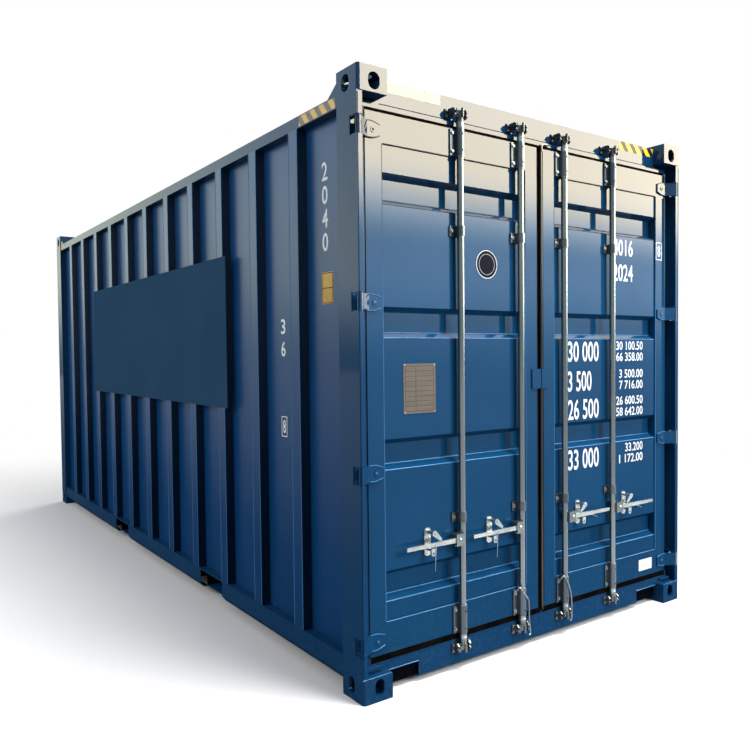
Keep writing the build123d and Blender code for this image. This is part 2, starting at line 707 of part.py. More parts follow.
# Hinge blades: a knuckle on the pin and a blade on the hinge stile, which narrows to its tip
# and has a pressed boss
def hinges(node, s):
    root, tip = BLADE_HEIGHT / 2, BLADE_TIP_HEIGHT / 2
    blade_end = LEAF_OUTER - BLADE_LENGTH
    middle = LEAF_FACE + BLADE_THICKNESS / 2
    with BuildPart() as blades:
        for z in HINGE_PLACES:
            with BuildSketch(Plane.XY.offset(z - root)):
                with Locations((PIN_X, s * PIN_Y)):
                    Circle(KNUCKLE_RADIUS)
                with Locations((middle, s * (LEAF_OUTER - BLADE_THICKNESS / 2))):
                    Rectangle(BLADE_THICKNESS, BLADE_THICKNESS)
                make_hull()
                with Locations((middle, s * (LEAF_OUTER - BLADE_LENGTH / 2))):
                    Rectangle(BLADE_THICKNESS, BLADE_LENGTH)
                with Locations((PIN_X, s * PIN_Y)):
                    Circle(PIN_RADIUS + KNUCKLE_CLEARANCE, mode=Mode.SUBTRACT)
            extrude(amount=BLADE_HEIGHT)
            with BuildSketch(Plane.YZ.offset(LEAF_FACE)):
                for up in (-1, 1):
                    with BuildLine():
                        Polyline(
                            (s * (blade_end + BLADE_TAPER), z + up * root),
                            (s * blade_end, z + up * tip),
                            (s * blade_end, z + up * root),
                            close=True,
                        )
                    make_face()
            extrude(amount=BLADE_THICKNESS, mode=Mode.SUBTRACT)
            with BuildSketch(Plane.YZ.offset(LEAF_FACE + BLADE_THICKNESS)):
                with Locations((s * (LEAF_OUTER - BLADE_BOSS_OUT), z)):
                    Circle(BLADE_BOSS_RADIUS)
            extrude(amount=BLADE_BOSS_HEIGHT)
    save(blades, node)


# Rod brackets: sleeves round each rod, with a bolted plate on one side
def rod_brackets(node, s):
    guides = (HANDLE_Z + LOWER_GUIDE_RISE, LEAF_TOP - UPPER_GUIDE_DROP)
    spans = [
        (BOTTOM_BRACKET_BASE, BOTTOM_BRACKET_HEIGHT, LEAF_FACE),
        (TOP_BRACKET_BASE, TOP_BRACKET_HEIGHT, LEAF_FACE),
    ]
    spans += [(z - GUIDE_HEIGHT / 2, GUIDE_HEIGHT, PANEL_FACE) for z in guides]
    outer = ROD_RADIUS + ROD_CLEARANCE + SLEEVE_WALL
    with BuildPart() as brackets:
        for base, height, face in spans:
            for place in ROD_PLACES:
                with BuildSketch(Plane.XY.offset(base)):
                    with Locations((ROD_X, s * place)):
                        Circle(outer)
                    with Locations(((face + ROD_X) / 2, s * place)):
                        Rectangle(ROD_X - face, 2 * outer)
                    with Locations((face + BRACKET_THICKNESS / 2, s * place - BRACKET_WIDTH / 2)):
                        Rectangle(BRACKET_THICKNESS, BRACKET_WIDTH)
                    with Locations((ROD_X, s * place)):
                        Circle(ROD_RADIUS + ROD_CLEARANCE, mode=Mode.SUBTRACT)
                    with Locations((face - outer, s * place)):
                        Rectangle(2 * outer, 2 * outer, mode=Mode.SUBTRACT)
                extrude(amount=height)
    save(brackets, node)


# Handle retainers: a bolted plate, a shelf below the handle with an eye for a seal, and a
# boss that carries the pin of the swinging latch
def handle_retainers(node, s, places):
    plate_low, plate_high = HANDLE_Z - RETAINER_DROP, HANDLE_Z + RETAINER_RISE
    shelf_z = SHELF_TOP - SHELF_THICKNESS / 2
    eye_z = SHELF_TOP - SHELF_THICKNESS - EYE_RADIUS
    with BuildPart() as retainers:
        for place in places:
            y = s * place
            with BuildSketch(Plane.YZ.offset(PANEL_FACE)):
                with Locations((y, (plate_low + plate_high) / 2)):
                    RectangleRounded(RETAINER_WIDTH, plate_high - plate_low, radius=RETAINER_ROUND)
            extrude(amount=RETAINER_THICKNESS)
            with Locations(((RETAINER_FACE + HANDLE_FACE) / 2, y, shelf_z)):
                Box(HANDLE_FACE - RETAINER_FACE, SHELF_WIDTH, SHELF_THICKNESS)
            with BuildSketch(Plane.YZ.offset(HANDLE_FACE - RETAINER_THICKNESS)):
                with Locations((y, eye_z)):
                    Circle(EYE_RADIUS)
                with Locations((y, eye_z + EYE_RADIUS / 2)):
                    Rectangle(2 * EYE_RADIUS, EYE_RADIUS)
                with Locations((y, eye_z)):
                    Circle(EYE_HOLE, mode=Mode.SUBTRACT)
            extrude(amount=RETAINER_THICKNESS)
            with BuildSketch(Plane.YZ.offset(RETAINER_FACE)):
                with Locations((y, LATCH_Z)):
                    Circle(LATCH_BOSS)
                    Circle(LATCH_PIN + LATCH_CLEARANCE, mode=Mode.SUBTRACT)
            extrude(amount=LATCH_BACK - LATCH_GAP - RETAINER_FACE)
    save(retainers, node)


# Data plate on the left door, and the two lock plates that meet over the gap
def data_plate(node):
    with BuildPart() as plate:
        with BuildSketch(Plane.YZ.offset(PANEL_FACE)):
            with Locations((DATA_PLATE_INSET - LEAF_OUTER, DATA_PLATE_Z)):
                RectangleRounded(DATA_PLATE_WIDTH, DATA_PLATE_HEIGHT, radius=DATA_PLATE_ROUND)
        extrude(amount=DATA_PLATE_THICKNESS)
    save(plate, node)


def lock_plate(node, s, reach):
    with BuildPart() as plate:
        with BuildSketch(Plane.YZ.offset(LEAF_FACE)):
            with Locations((s * (reach + LOCK_PLATE_GAP) / 2, LOCK_PLATE_BASE + LOCK_PLATE_HEIGHT / 2)):
                Rectangle(reach - LOCK_PLATE_GAP, LOCK_PLATE_HEIGHT)
        extrude(amount=LOCK_PLATE_THICKNESS)
    save(plate, node)


# Lock rods: a rod with a two fingered cam and two rings at each end, two collars that keep it in
# its brackets, and the clevis that the handle is riveted in
def lock_rod(node, s, place):
    y = s * place
    low, high = (z + end * CAM_THICKNESS / 2 for z, end in zip(CAM_PLACES, (-1, 1)))
    collars = (BOTTOM_BRACKET_TOP + COLLAR_GAP, TOP_BRACKET_BASE - COLLAR_GAP - COLLAR_HEIGHT)
    clevis_back = ROD_X - HUB_DEPTH / 2
    clevis_front = HANDLE_FACE + HANDLE_GAP + HUB_CHEEK
    slot = HANDLE_THICKNESS + 2 * HANDLE_GAP
    with BuildPart() as rod:
        with BuildSketch(Plane.XY.offset(low)):
            with Locations((ROD_X, y)):
                Circle(ROD_RADIUS)
        extrude(amount=high - low)
        for cam_z in CAM_PLACES:
            with BuildSketch(Plane.XY.offset(cam_z - CAM_THICKNESS / 2)):
                with Locations((ROD_X, y)):
                    Circle(ROD_RADIUS)
                with Locations((ROD_X, y + s * (CAM_REACH - CAM_NOSE))):
                    Circle(CAM_NOSE)
                make_hull()
            extrude(amount=CAM_THICKNESS)
            with BuildSketch(Plane.XY.offset(cam_z - CAM_THICKNESS / 2 - CAM_FINGER_RISE)):
                with Locations((ROD_X, y + s * CAM_FINGER_OUT), (ROD_X + CAM_FINGER_OUT, y)):
                    Circle(CAM_FINGER)
            extrude(amount=CAM_THICKNESS + 2 * CAM_FINGER_RISE)
        for cam_z, inward in zip(CAM_PLACES, (1, -1)):
            for i in (1, 2):
                ring_z = cam_z + inward * (CAM_THICKNESS / 2 + i * CAM_RING_STEP - CAM_RING_HEIGHT / 2)
                with Locations((ROD_X, y, ring_z)):
                    Cylinder(CAM_RING_RADIUS, CAM_RING_HEIGHT)
        for collar_z in collars:
            with BuildSketch(Plane.XY.offset(collar_z)):
                with Locations((ROD_X, y)):
                    Circle(COLLAR_RADIUS)
            extrude(amount=COLLAR_HEIGHT)
        clevis_y = y + s * (HUB_WEB_NEAR + HUB_FAR) / 2
        with Locations(((clevis_back + clevis_front) / 2, clevis_y, HANDLE_Z)):
            Box(clevis_front - clevis_back, HUB_FAR - HUB_WEB_NEAR, HUB_HEIGHT)
        slot_y = y + s * (HUB_WEB_FAR + HUB_FAR) / 2
        with Locations((HANDLE_BACK - HANDLE_GAP + slot / 2, slot_y, HANDLE_Z)):
            Box(slot, HUB_FAR - HUB_WEB_FAR, HUB_HEIGHT, mode=Mode.SUBTRACT)
        with Locations(Plane((ROD_X, y + s * RIVET_OUT, HANDLE_Z), z_dir=(1, 0, 0))):
            Cylinder(RIVET_RADIUS + RIVET_CLEARANCE, 2 * (clevis_front - ROD_X), mode=Mode.SUBTRACT)
    save(rod, node)


# Handles: flat levers on a rivet through the clevis
def handle(node, s, place):
    pivot_y = s * (place + RIVET_OUT)
    tip_y = s * (place + HANDLE_REACH)
    root, tip = HANDLE_ROOT_HEIGHT / 2, HANDLE_TIP_HEIGHT / 2
    with BuildPart() as lever:
        with BuildSketch(Plane.YZ.offset(HANDLE_BACK)):
            with Locations((pivot_y, HANDLE_Z)):
                Circle(HANDLE_ROOT_RADIUS)
            with BuildLine():
                Polyline(
                    (pivot_y, HANDLE_Z + root),
                    (tip_y, HANDLE_Z + tip),
                    (tip_y, HANDLE_Z - tip),
                    (pivot_y, HANDLE_Z - root),
                    close=True,
                )
            make_face()
        extrude(amount=HANDLE_THICKNESS)
        with BuildSketch(Plane.YZ.offset(ROD_X - HUB_DEPTH / 2)):
            with Locations((pivot_y, HANDLE_Z)):
                Circle(RIVET_RADIUS)
        extrude(amount=HUB_DEPTH + 2 * HANDLE_GAP + HANDLE_THICKNESS + HUB_CHEEK)
    save(lever, node)


# Latches: teardrop plates that swing over the handle
def latch(node, s, place):
    y = s * place
    lean = radians(LATCH_ANGLE)
    tip_y = y - s * LATCH_LENGTH * sin(lean)
    tip_z = LATCH_Z - LATCH_LENGTH * cos(lean)
    with BuildPart() as drop:
        with BuildSketch(Plane.YZ.offset(LATCH_BACK)):
            with Locations((y, LATCH_Z)):
                Circle(LATCH_ROOT)
            with Locations((tip_y, tip_z)):
                Circle(LATCH_TIP)
            make_hull()
        extrude(amount=LATCH_THICKNESS)
        with BuildSketch(Plane.YZ.offset(RETAINER_FACE + LATCH_GAP)):
            with Locations((y, LATCH_Z)):
                Circle(LATCH_PIN)
        extrude(amount=LATCH_BACK - LATCH_GAP - RETAINER_FACE)
    save(drop, node)


corner_castings("bottom_castings", top=False)
corner_castings("top_castings", top=True)
door_post("left_door_post", SIDES["left"])
door_post("right_door_post", SIDES["right"])
front_posts("front_posts")
header("door_header", HEADER_FACE, CASTING_INNER_X, POST_BOX_INNER, lip=True)
header("front_header", -END + INSET, -CASTING_INNER_X, FRONT_POST_INNER, lip=False)
sill("door_sill", SILL_FACE, CASTING_INNER_X, POST_BOX_INNER, SILL_TOP, cut=True)
sill("front_sill", -END + INSET, -CASTING_INNER_X, FRONT_POST_INNER, FLOOR_BASE, cut=False)
front_wall("front_wall")
roof("roof")
floor_boards("floor")
cross_members("cross_members")
fork_pockets("fork_pockets")
pocket_plates("pocket_plates")
marking_panel("marking_panel")
cam_keepers("cam_keepers")
data_plate("data_plate")
for name, s in SIDES.items():
    top_rail(f"{name}_top_rail", s)
    bottom_rail(f"{name}_bottom_rail", s)
    side_wall(f"{name}_side_wall", s)
    door_frame(f"{name}_door_frame", s)
    door_panel(f"{name}_door_panel", s)
    door_gasket(f"{name}_door_gasket", s)
    hinges(f"{name}_hinges", s)
    rod_brackets(f"{name}_rod_brackets", s)
    retainers = LEFT_RETAINERS if s < 0 else RIGHT_RETAINERS
    handle_retainers(f"{name}_handle_retainers", s, retainers)
    lock_plate(f"{name}_lock_plate", s, LOCK_PLATE_LEFT if s < 0 else LOCK_PLATE_RIGHT)
    for rod_name, i in RODS.items():
        lock_rod(f"{name}_{rod_name}_rod", s, ROD_PLACES[i])
        handle(f"{name}_{rod_name}_handle", s, ROD_PLACES[i])
        latch(f"{name}_{rod_name}_latch", s, retainers[i])
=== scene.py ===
"""Looks of the twenty foot container: finishes, fittings, marks, light and camera.

Metres, +Z up, doors at +X, the long left side at -Y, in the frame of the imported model.
"""
import math

import bpy
import numpy as np
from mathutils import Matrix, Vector


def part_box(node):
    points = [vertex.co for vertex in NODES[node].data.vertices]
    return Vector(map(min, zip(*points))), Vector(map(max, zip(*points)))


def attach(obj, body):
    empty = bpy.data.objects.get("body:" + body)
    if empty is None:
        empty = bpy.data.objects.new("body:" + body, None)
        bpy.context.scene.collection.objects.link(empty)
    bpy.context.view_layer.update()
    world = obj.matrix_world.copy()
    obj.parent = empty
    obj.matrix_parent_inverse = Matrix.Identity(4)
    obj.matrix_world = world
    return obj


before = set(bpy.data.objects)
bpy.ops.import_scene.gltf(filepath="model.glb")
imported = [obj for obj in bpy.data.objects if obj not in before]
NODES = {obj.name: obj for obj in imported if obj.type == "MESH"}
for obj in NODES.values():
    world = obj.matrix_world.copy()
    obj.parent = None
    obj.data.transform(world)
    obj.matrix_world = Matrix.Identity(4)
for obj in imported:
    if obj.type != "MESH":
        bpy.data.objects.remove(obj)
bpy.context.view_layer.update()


# Frame, posts and rails: rolled and folded steel sections welded to cast corners, all sprayed
# with one glossy blue paint. The paint shows faint orange peel, soft clouding and road dust low
# down, and painted shade darkens it high up.
class Value:
    """A socket of a finish. Arithmetic on it adds Math nodes."""

    def __init__(self, finish, socket):
        self.finish, self.socket = finish, socket

    def math(self, operation, *others):
        """A Math node on this value and the others."""
        sockets = dict(enumerate((self, *others)))
        return self.finish.node("ShaderNodeMath", {"operation": operation}, sockets)

    def __add__(self, other):
        return self.math("ADD", other)

    def __sub__(self, other):
        return self.math("SUBTRACT", other)

    def __mul__(self, other):
        return self.math("MULTIPLY", other)

    def __truediv__(self, other):
        return self.math("DIVIDE", other)

    def __rsub__(self, other):
        return self.finish.node("ShaderNodeMath", {"operation": "SUBTRACT"}, {0: other, 1: self})

    __radd__, __rmul__ = __add__, __mul__

    def over(self, edge, soft):
        """0 below the edge and 1 above it, in a smooth step of the given width."""
        sockets = {"From Min": edge - soft / 2, "From Max": edge + soft / 2, "Value": self}
        return self.finish.node("ShaderNodeMapRange", {"interpolation_type": "SMOOTHSTEP"}, sockets)


class Finish:
    """A node material. Fixed numbers go straight to the sockets of its Principled shader."""

    def __init__(self, name, **fixed):
        self.material = bpy.data.materials.new(name)
        self.material.use_nodes = True
        self.tree = self.material.node_tree
        self.shader = self.tree.nodes["Principled BSDF"]
        for socket, value in fixed.items():
            self.shader.inputs[socket.replace("_", " ")].default_value = value

    def node(self, kind, settings=None, sockets=None, out=0):
        """Adds a node, its settings first and then its sockets' values or links. Gives one output."""
        made = self.tree.nodes.new(kind)
        for setting, value in (settings or {}).items():
            setattr(made, setting, value)
        for socket, value in (sockets or {}).items():
            if isinstance(value, Value):
                self.tree.links.new(value.socket, made.inputs[socket])
            else:
                made.inputs[socket].default_value = value
        return Value(self, made.outputs[out])

    def feed(self, socket, value):
        """Links a value to a socket of the shader."""
        self.tree.links.new(value.socket, self.shader.inputs[socket])

    def place(self):
        return self.node("ShaderNodeTexCoord", out="Object")

    def axes(self):
        place = self.place()
        return [self.node("ShaderNodeSeparateXYZ", None, {0: place}, out=i) for i in range(3)]

    def noise(self, scale, detail=2.0, stretch=(1, 1, 1)):
        """Soft noise from 0 to 1, in waves to the metre, squeezed by the stretch along each axis."""
        place = self.node("ShaderNodeMapping", None, {"Vector": self.place(), "Scale": stretch})
        return self.node("ShaderNodeTexNoise", None, {"Vector": place, "Scale": scale, "Detail": detail})

    def blend(self, factor, first, second):
        sockets = {"Factor": factor, 6: first, 7: second}
        return self.node("ShaderNodeMix", {"data_type": "RGBA"}, sockets, out=2)

    def bump(self, height, strength, distance, normal=None):
        sockets = {"Height": height, "Strength": strength, "Distance": distance}
        if normal:
            sockets["Normal"] = normal
        return self.node("ShaderNodeBump", None, sockets)


def rgb(red, green, blue):
    """A colour as written on screen, 0 to 255, turned linear: ((c + 0.055) / 1.055) ** 2.4."""
    screen = np.array([red, green, blue]) / 255
    linear = np.where(screen > 0.04045, ((screen + 0.055) / 1.055) ** 2.4, screen / 12.92)
    return (*linear.tolist(), 1.0)


def dress(finish, *nodes):
    """Gives one finish to CAD nodes."""
    for node in nodes:
        slots = NODES[node].data.materials
        slots.clear()
        slots.append(finish.material)


# The first colour is real road dust; the second is painted shade, a dark tint laid over the paint high
# up.
DUST, TOP_SHADE = rgb(112, 112, 104), rgb(6, 18, 30)


def paint(name, colour, shade, coat=0.6, blur=0.07, film=0.9, flank_shade=None, top_shade=0.0):
    """Blue paint: clouding between two tints, orange peel, and a road film that dulls its lower half.

    The film lies on upright faces: rain keeps ledges and upper folds glossy. A darker flank colour on
    faces turned along X is painted shade on the ribs' flanks. Painted shade darkens the tint high up,
    and faces that look down keep half their gloss.
    """
    finish = Finish(name, IOR=1.5, Specular_IOR_Level=0.0, Coat_Roughness=blur, Coat_IOR=1.5)
    _, _, up = finish.axes()
    cloud = finish.noise(1.7, 3.0)
    fleck = finish.noise(38.0, 2.0)
    tint = finish.blend(cloud.over(0.5, 0.5), colour, shade)
    facing = finish.node("ShaderNodeNewGeometry", out="Normal")
    sideways, ledge = (finish.node("ShaderNodeSeparateXYZ", None, {0: facing}, out=i) for i in (0, 2))
    # Painted shade: a darker colour on faces turned along X.
    if flank_shade:
        tint = finish.blend(sideways.math("ABSOLUTE").over(0.8, 0.2), tint, flank_shade)
    # Painted shade: the tint darkens high up.
    if top_shade:
        tint = finish.blend(up.over(2.3, 0.9) * top_shade, tint, TOP_SHADE)
    dust = (1 - up.over(0.30, 0.7)) * fleck.over(0.62, 0.3) * 0.10
    finish.feed("Base Color", finish.blend(dust, tint, DUST))
    finish.feed("Roughness", 0.35 + cloud * 0.05 + dust * 0.9)
    glossy_share = (up.over(1.25, 1.7) * film + (1 - film) + ledge.over(0.45, 0.3)).math("MINIMUM", 1.0)
    sheltered = ledge.over(-0.5, 0.3) * 0.5 + 0.5
    finish.feed("Coat Weight", (coat - dust * 2.0) * glossy_share * sheltered)
    peel = finish.bump(finish.noise(210.0, 1.0), 0.06, 0.0006)
    finish.feed("Normal", finish.bump(finish.noise(2.6, 1.0), 0.10, 0.006, peel))
    return finish


# The frame's paint carries painted shade high up.
FRAME_BLUE = paint("frame_blue", rgb(13, 58, 96), rgb(17, 63, 103), top_shade=0.4)
dress(
    FRAME_BLUE, "bottom_castings", "top_castings", "left_door_post", "right_door_post", "front_posts",
    "door_header", "front_header", "door_sill", "front_sill", "left_top_rail", "right_top_rail",
    "left_bottom_rail", "right_bottom_rail", "pocket_plates",
)


# Underside: cross members and fork pockets are brushed with black bituminous wax before the floor
# goes in, against spray from the road. The same black on plates in the sill's two hand spaces and on
# the bead along the header's lip is painted shade.
UNDERCOAT_AND_SHADE = Finish("undercoat_and_shade", IOR=1.45, Specular_IOR_Level=0.0)
brushed = UNDERCOAT_AND_SHADE.noise(16.0, 4.0, (1.0, 3.0, 1.0))
UNDERCOAT_AND_SHADE.feed("Base Color", UNDERCOAT_AND_SHADE.blend(brushed.over(0.5, 0.4), rgb(5, 7, 11), rgb(12, 15, 20)))
UNDERCOAT_AND_SHADE.feed("Roughness", 0.55 + brushed * 0.2)
UNDERCOAT_AND_SHADE.feed("Normal", UNDERCOAT_AND_SHADE.bump(brushed, 0.2, 0.001))
dress(UNDERCOAT_AND_SHADE, "cross_members", "fork_pockets")


# Weld beads of the frame: fillet welds with the ripple that each stroke leaves, painted over. They
# join the posts, headers and sill to the castings, and the side walls to their rails.
def loft(rings):
    """A closed skin over rings of points. Rings run anticlockwise as seen from the last one's side."""
    count, sides = rings.shape[:2]
    j = np.arange(sides)
    start = np.arange(count - 1)[:, None] * sides
    after = (j + 1) % sides
    quads = np.stack([start + j, start + after, start + sides + after, start + sides + j], 2)
    caps = [j[::-1].tolist(), ((count - 1) * sides + j).tolist()]
    return rings.reshape(-1, 3), quads.reshape(-1, 4).tolist() + caps


def circle(sides):
    """Points round a circle of radius 1: (cos a, sin a) at a = 2 pi j / sides."""
    angle = np.arange(sides) * 2 * np.pi / sides
    return np.stack([np.cos(angle), np.sin(angle)], 1)


def bar(path, radius, sides, across=(0.31, 0.22, 0.93)):
    """A round bar: point (i, j) = path[i] + radius[i] (cos a[j] side[i] + sin a[j] up[i])."""
    path = np.asarray(path, float)
    ahead = np.gradient(path, axis=0)
    ahead /= np.linalg.norm(ahead, axis=1)[:, None]
    side = np.cross(ahead, across)
    side /= np.linalg.norm(side, axis=1)[:, None]
    up = np.cross(ahead, side)
    spokes = circle(sides) @ np.stack([side, up], 1)
    return loft(path[:, None] + np.broadcast_to(radius, len(path))[:, None, None] * spokes)


ripple_depth, weld_sides = 0.16, 5


def bead(start, end, width=0.008, stroke=0.012):
    """A weld bead: a bar from start to end whose radius ripples once a stroke, narrow at both ends."""
    start, end = np.array(start), np.array(end)
    length = np.linalg.norm(end - start)
    u = np.linspace(0, 1, max(int(length / stroke * 3), 8))
    ripple = 1 + ripple_depth * np.sin(2 * np.pi * u * length / stroke)
    taper = np.minimum(1, np.minimum(u, 1 - u) * length / width + 0.3)
    return bar(start + (end - start) * u[:, None], width / 2 * ripple * taper, weld_sides)


def together(shapes):
    """Several shapes as one: points stacked, faces renumbered."""
    points, faces, first = [], [], 0
    for shape_points, shape_faces in shapes:
        points.append(shape_points)
        faces += [[first + corner for corner in face] for face in shape_faces]
        first += len(shape_points)
    return np.vstack(points), faces


def new_object(name, shape, finish):
    """An object at the origin, with a shape for its mesh and one finish."""
    mesh = bpy.data.meshes.new(name)
    mesh.from_pydata(shape[0], [], shape[1])
    mesh.materials.append(finish.material)
    piece = bpy.data.objects.new(name, mesh)
    bpy.context.scene.collection.objects.link(piece)
    return piece


def make(name, shape, finish, body, crease=38):
    """A piece of the container: its mesh, its finish and the body that it rides on."""
    piece = new_object(name, shape, finish)
    piece.data.shade_smooth()
    piece.data.set_sharp_from_angle(angle=math.radians(crease))
    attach(piece, body)


def span(node, axis):
    """Lowest and highest coordinate of a node along x, y or z."""
    low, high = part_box(node)
    return low["xyz".index(axis)], high["xyz".index(axis)]


casting_low, casting_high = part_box("top_castings")
base_top, top_base = span("bottom_castings", "z")[1], casting_low[2]
side_y, casting_width = casting_high[1], 0.162
casting_inner = side_y - casting_width
post_low, post_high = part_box("left_door_post")
header_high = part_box("door_header")[1]
drip_lip, seam_inset, seam_gap, seam_base = 0.011, 0.0065, 0.01, 0.035
header_face = header_high[0] - drip_lip
sill_face = span("door_sill", "x")[1]
post_seam = (post_low[0] + seam_gap, post_high[0] - seam_gap)
frame_welds = []
for s in (-1, 1):
    wall_y, inner_y = s * (side_y - seam_inset), s * casting_inner
    for z in (base_top, top_base):
        frame_welds.append(bead(*((x, wall_y, z) for x in post_seam)))
    frame_welds.append(bead((header_face, inner_y, top_base), (header_face, inner_y, header_high[2])))
    frame_welds.append(bead((sill_face, inner_y, seam_base), (sill_face, inner_y, base_top)))
SEAM_BLUE = paint("seam_blue", rgb(10, 46, 78), rgb(14, 52, 86), coat=0.08)
make("frame_welds", together(frame_welds), SEAM_BLUE, "frame")


# Corner highlights: round bars sunk in the edges of castings, posts and sill, in a pale blue whose
# painted highlight draws a line of light along each corner. The posts' outer corners get a darker
# blue with little gloss instead, which draws a dark line down each.
EDGE_HIGHLIGHT = paint("edge_highlight", rgb(52, 112, 164), rgb(62, 122, 172), coat=0.3, blur=0.15, film=0.0)
edge_radius, proud, clear = 0.0035, 0.0015, 0.010
sunk = edge_radius - proud


def rounding(start, end, radius=edge_radius):
    """A rounded edge: a straight bar whose middle line lies just under the corner it softens."""
    return bar(np.linspace(start, end, 3), radius, sides=10)


def upright(x, y, low, high, radius=edge_radius):
    """A rounded edge that stands upright between two heights."""
    return rounding((x, y, low), (x, y, high), radius)


cut_outer, cut_inner, cut_top = 1.0565, 0.8605, 0.103
roundings, post_edges = [], []
for s in (-1, 1):
    side_edge, top_edge = s * (side_y - edge_radius), base_top - sunk
    corner = (casting_high[0] - edge_radius, side_edge, top_edge)
    roundings.append(rounding(corner, (corner[0], s * (casting_inner + edge_radius), top_edge)))
    roundings.append(rounding(corner, (post_low[0] + clear, side_edge, top_edge)))
    for post_x, edges in ((post_high[0] - sunk, post_edges), (post_low[0] + sunk, roundings)):
        edges.append(upright(post_x, side_edge, base_top + clear, top_base - clear))
    cut_ends = [(sill_face - sunk, s * y, cut_top + proud) for y in (cut_inner, cut_outer)]
    roundings.append(rounding(*cut_ends))
make("corner_roundings", together(roundings), EDGE_HIGHLIGHT, "frame")
CORNER_BLUE = paint("corner_blue", rgb(9, 32, 58), rgb(12, 38, 66), coat=0.1, blur=0.2)
make("post_roundings", together(post_edges), CORNER_BLUE, "frame")


# Sill trims: black plates just behind the face fill the sill's hand spaces with painted shade, and a
# short folded ledge over each casting turns rain off the door's corner. A black bead on top of the
# header's lip is a painted shadow line.
def stacked(levels):
    """Rings of points: each outline lifted to its own height."""
    return np.stack([np.column_stack([ring, np.full(len(ring), height)]) for ring, height in levels])


def block(low, high):
    """A plain plate: the corners of a box, as two rings of four joined round."""
    ring = [(low[0], low[1]), (high[0], low[1]), (high[0], high[1]), (low[0], high[1])]
    return loft(stacked([(ring, low[2]), (ring, high[2])]))


trim_sheet, recess_depth, recess_base, fit = 0.003, 0.017, 0.0305, 0.0005
ledge_inner, ledge_outer, ledge_out = 1.080, 1.168, 0.022
ledge_base, ledge_top, drip_base = 0.141, 0.145, 0.134
recess_x, ledge_x = sill_face - recess_depth, sill_face + ledge_out
shade_plates, ledges = [], []
for s in (-1, 1):
    near, far = sorted((s * cut_inner, s * cut_outer))
    shade_plates.append(block((recess_x - trim_sheet, near, recess_base), (recess_x, far, cut_top - fit)))
    near, far = sorted((s * ledge_inner, s * ledge_outer))
    ledges.append(block((sill_face, near, ledge_base), (ledge_x, far, ledge_top)))
    ledges.append(block((ledge_x - trim_sheet, near, drip_base), (ledge_x, far, ledge_base - fit)))
# These black plates are painted shade in the hand spaces.
make("sill_shade_plates", together(shade_plates), UNDERCOAT_AND_SHADE, "frame")
make("sill_ledges", together(ledges), FRAME_BLUE, "frame")
# The black bead on the lip's top is a painted shadow line under the header's face.
lip_top, shade_bead_radius, shade_bead_reach, shade_bead_out = 2.757, 0.0042, 1.05, 0.001
shade_bead_x, shade_bead_z = header_face + shade_bead_out, lip_top + shade_bead_radius
shade_bead_ends = ((shade_bead_x, y, shade_bead_z) for y in (-shade_bead_reach, shade_bead_reach))
shade_bead = bar(np.linspace(*shade_bead_ends, 3), shade_bead_radius, sides=6)
make("header_shade_bead", shade_bead, UNDERCOAT_AND_SHADE, "frame")


# Walls and roof: thin corrugated sheet, folded cold and welded all round. The flats pull in and
# out a little between the ribs, which shows as slow waves in the gloss.
# The walls' rib flanks take a darker blue: painted shade.
WALL_BLUE = paint(
    "wall_blue", rgb(11, 57, 102), rgb(16, 63, 110), coat=0.78, blur=0.3, flank_shade=rgb(5, 28, 52)
)
ROOF_BLUE = paint("roof_blue", rgb(12, 54, 93), rgb(17, 60, 101), coat=0.45, blur=0.2)
dress(WALL_BLUE, "left_side_wall", "right_side_wall")
dress(ROOF_BLUE, "front_wall", "roof")


def evenly(count, pitch):
    """Places spread about the middle: place[i] = (i - (count - 1) / 2) * pitch."""
    return (np.arange(count) - (count - 1) / 2) * pitch


rib_places = evenly(11, pitch=0.482)
rib_half, rib_depth, crest_half = 0.0545, 0.050, 0.0485
flat_starts = np.append(-post_low[0] + seam_gap, rib_places + rib_half)
flat_ends = np.append(rib_places - rib_half, post_low[0] - seam_gap)
crest_y = span("right_side_wall", "y")[1]
wall_base, wall_top = span("left_bottom_rail", "z")[1], span("left_top_rail", "z")[0]
wall_welds = []
for s in (-1, 1):
    flat_y = s * (crest_y - rib_depth + fit)
    for z in (wall_base, wall_top):
        for start, end in zip(flat_starts, flat_ends):
            wall_welds.append(bead((start, flat_y, z), (end, flat_y, z), width=0.006, stroke=0.018))
make("wall_welds", together(wall_welds), SEAM_BLUE, "frame")
# Rib folds: bars of the pale edge colour along both edges of each rib crest and on the front wall's
# ribs, painted highlights.
crest_edge, fold_gap = crest_half - edge_radius, 0.004
rib_folds = []
for s in (-1, 1):
    fold_y = s * (crest_y - sunk)
    for x in np.concatenate([rib_places - crest_edge, rib_places + crest_edge]):
        rib_folds.append(upright(x, fold_y, wall_base + fold_gap, wall_top - fold_gap))
front_places, front_x = evenly(5, pitch=0.440), span("front_wall", "x")[0] + sunk
front_base, front_top = span("front_wall", "z")
for y in np.concatenate([front_places - crest_edge, front_places + crest_edge]):
    rib_folds.append(upright(front_x, y, front_base + fold_gap, front_top - fold_gap))
make("rib_folds", together(rib_folds), EDGE_HIGHLIGHT, "frame")


# Marking panel: a flat sheet riveted on the ribs, sprayed in a flatter and greyer blue. Domed
# rivets of the same colour run round its edge.
PANEL_BLUE = Finish("panel_blue", IOR=1.45, Specular_IOR_Level=0.0)
panel_cloud = PANEL_BLUE.noise(2.2, 3.0)
panel_tint = PANEL_BLUE.blend(panel_cloud.over(0.5, 0.4), rgb(42, 72, 99), rgb(44, 75, 103))
PANEL_BLUE.feed("Base Color", panel_tint)
PANEL_BLUE.feed("Roughness", 0.55 + panel_cloud * 0.1)
PANEL_BLUE.feed("Normal", PANEL_BLUE.bump(PANEL_BLUE.noise(260.0, 1.0), 0.08, 0.0006))
dress(PANEL_BLUE, "marking_panel")

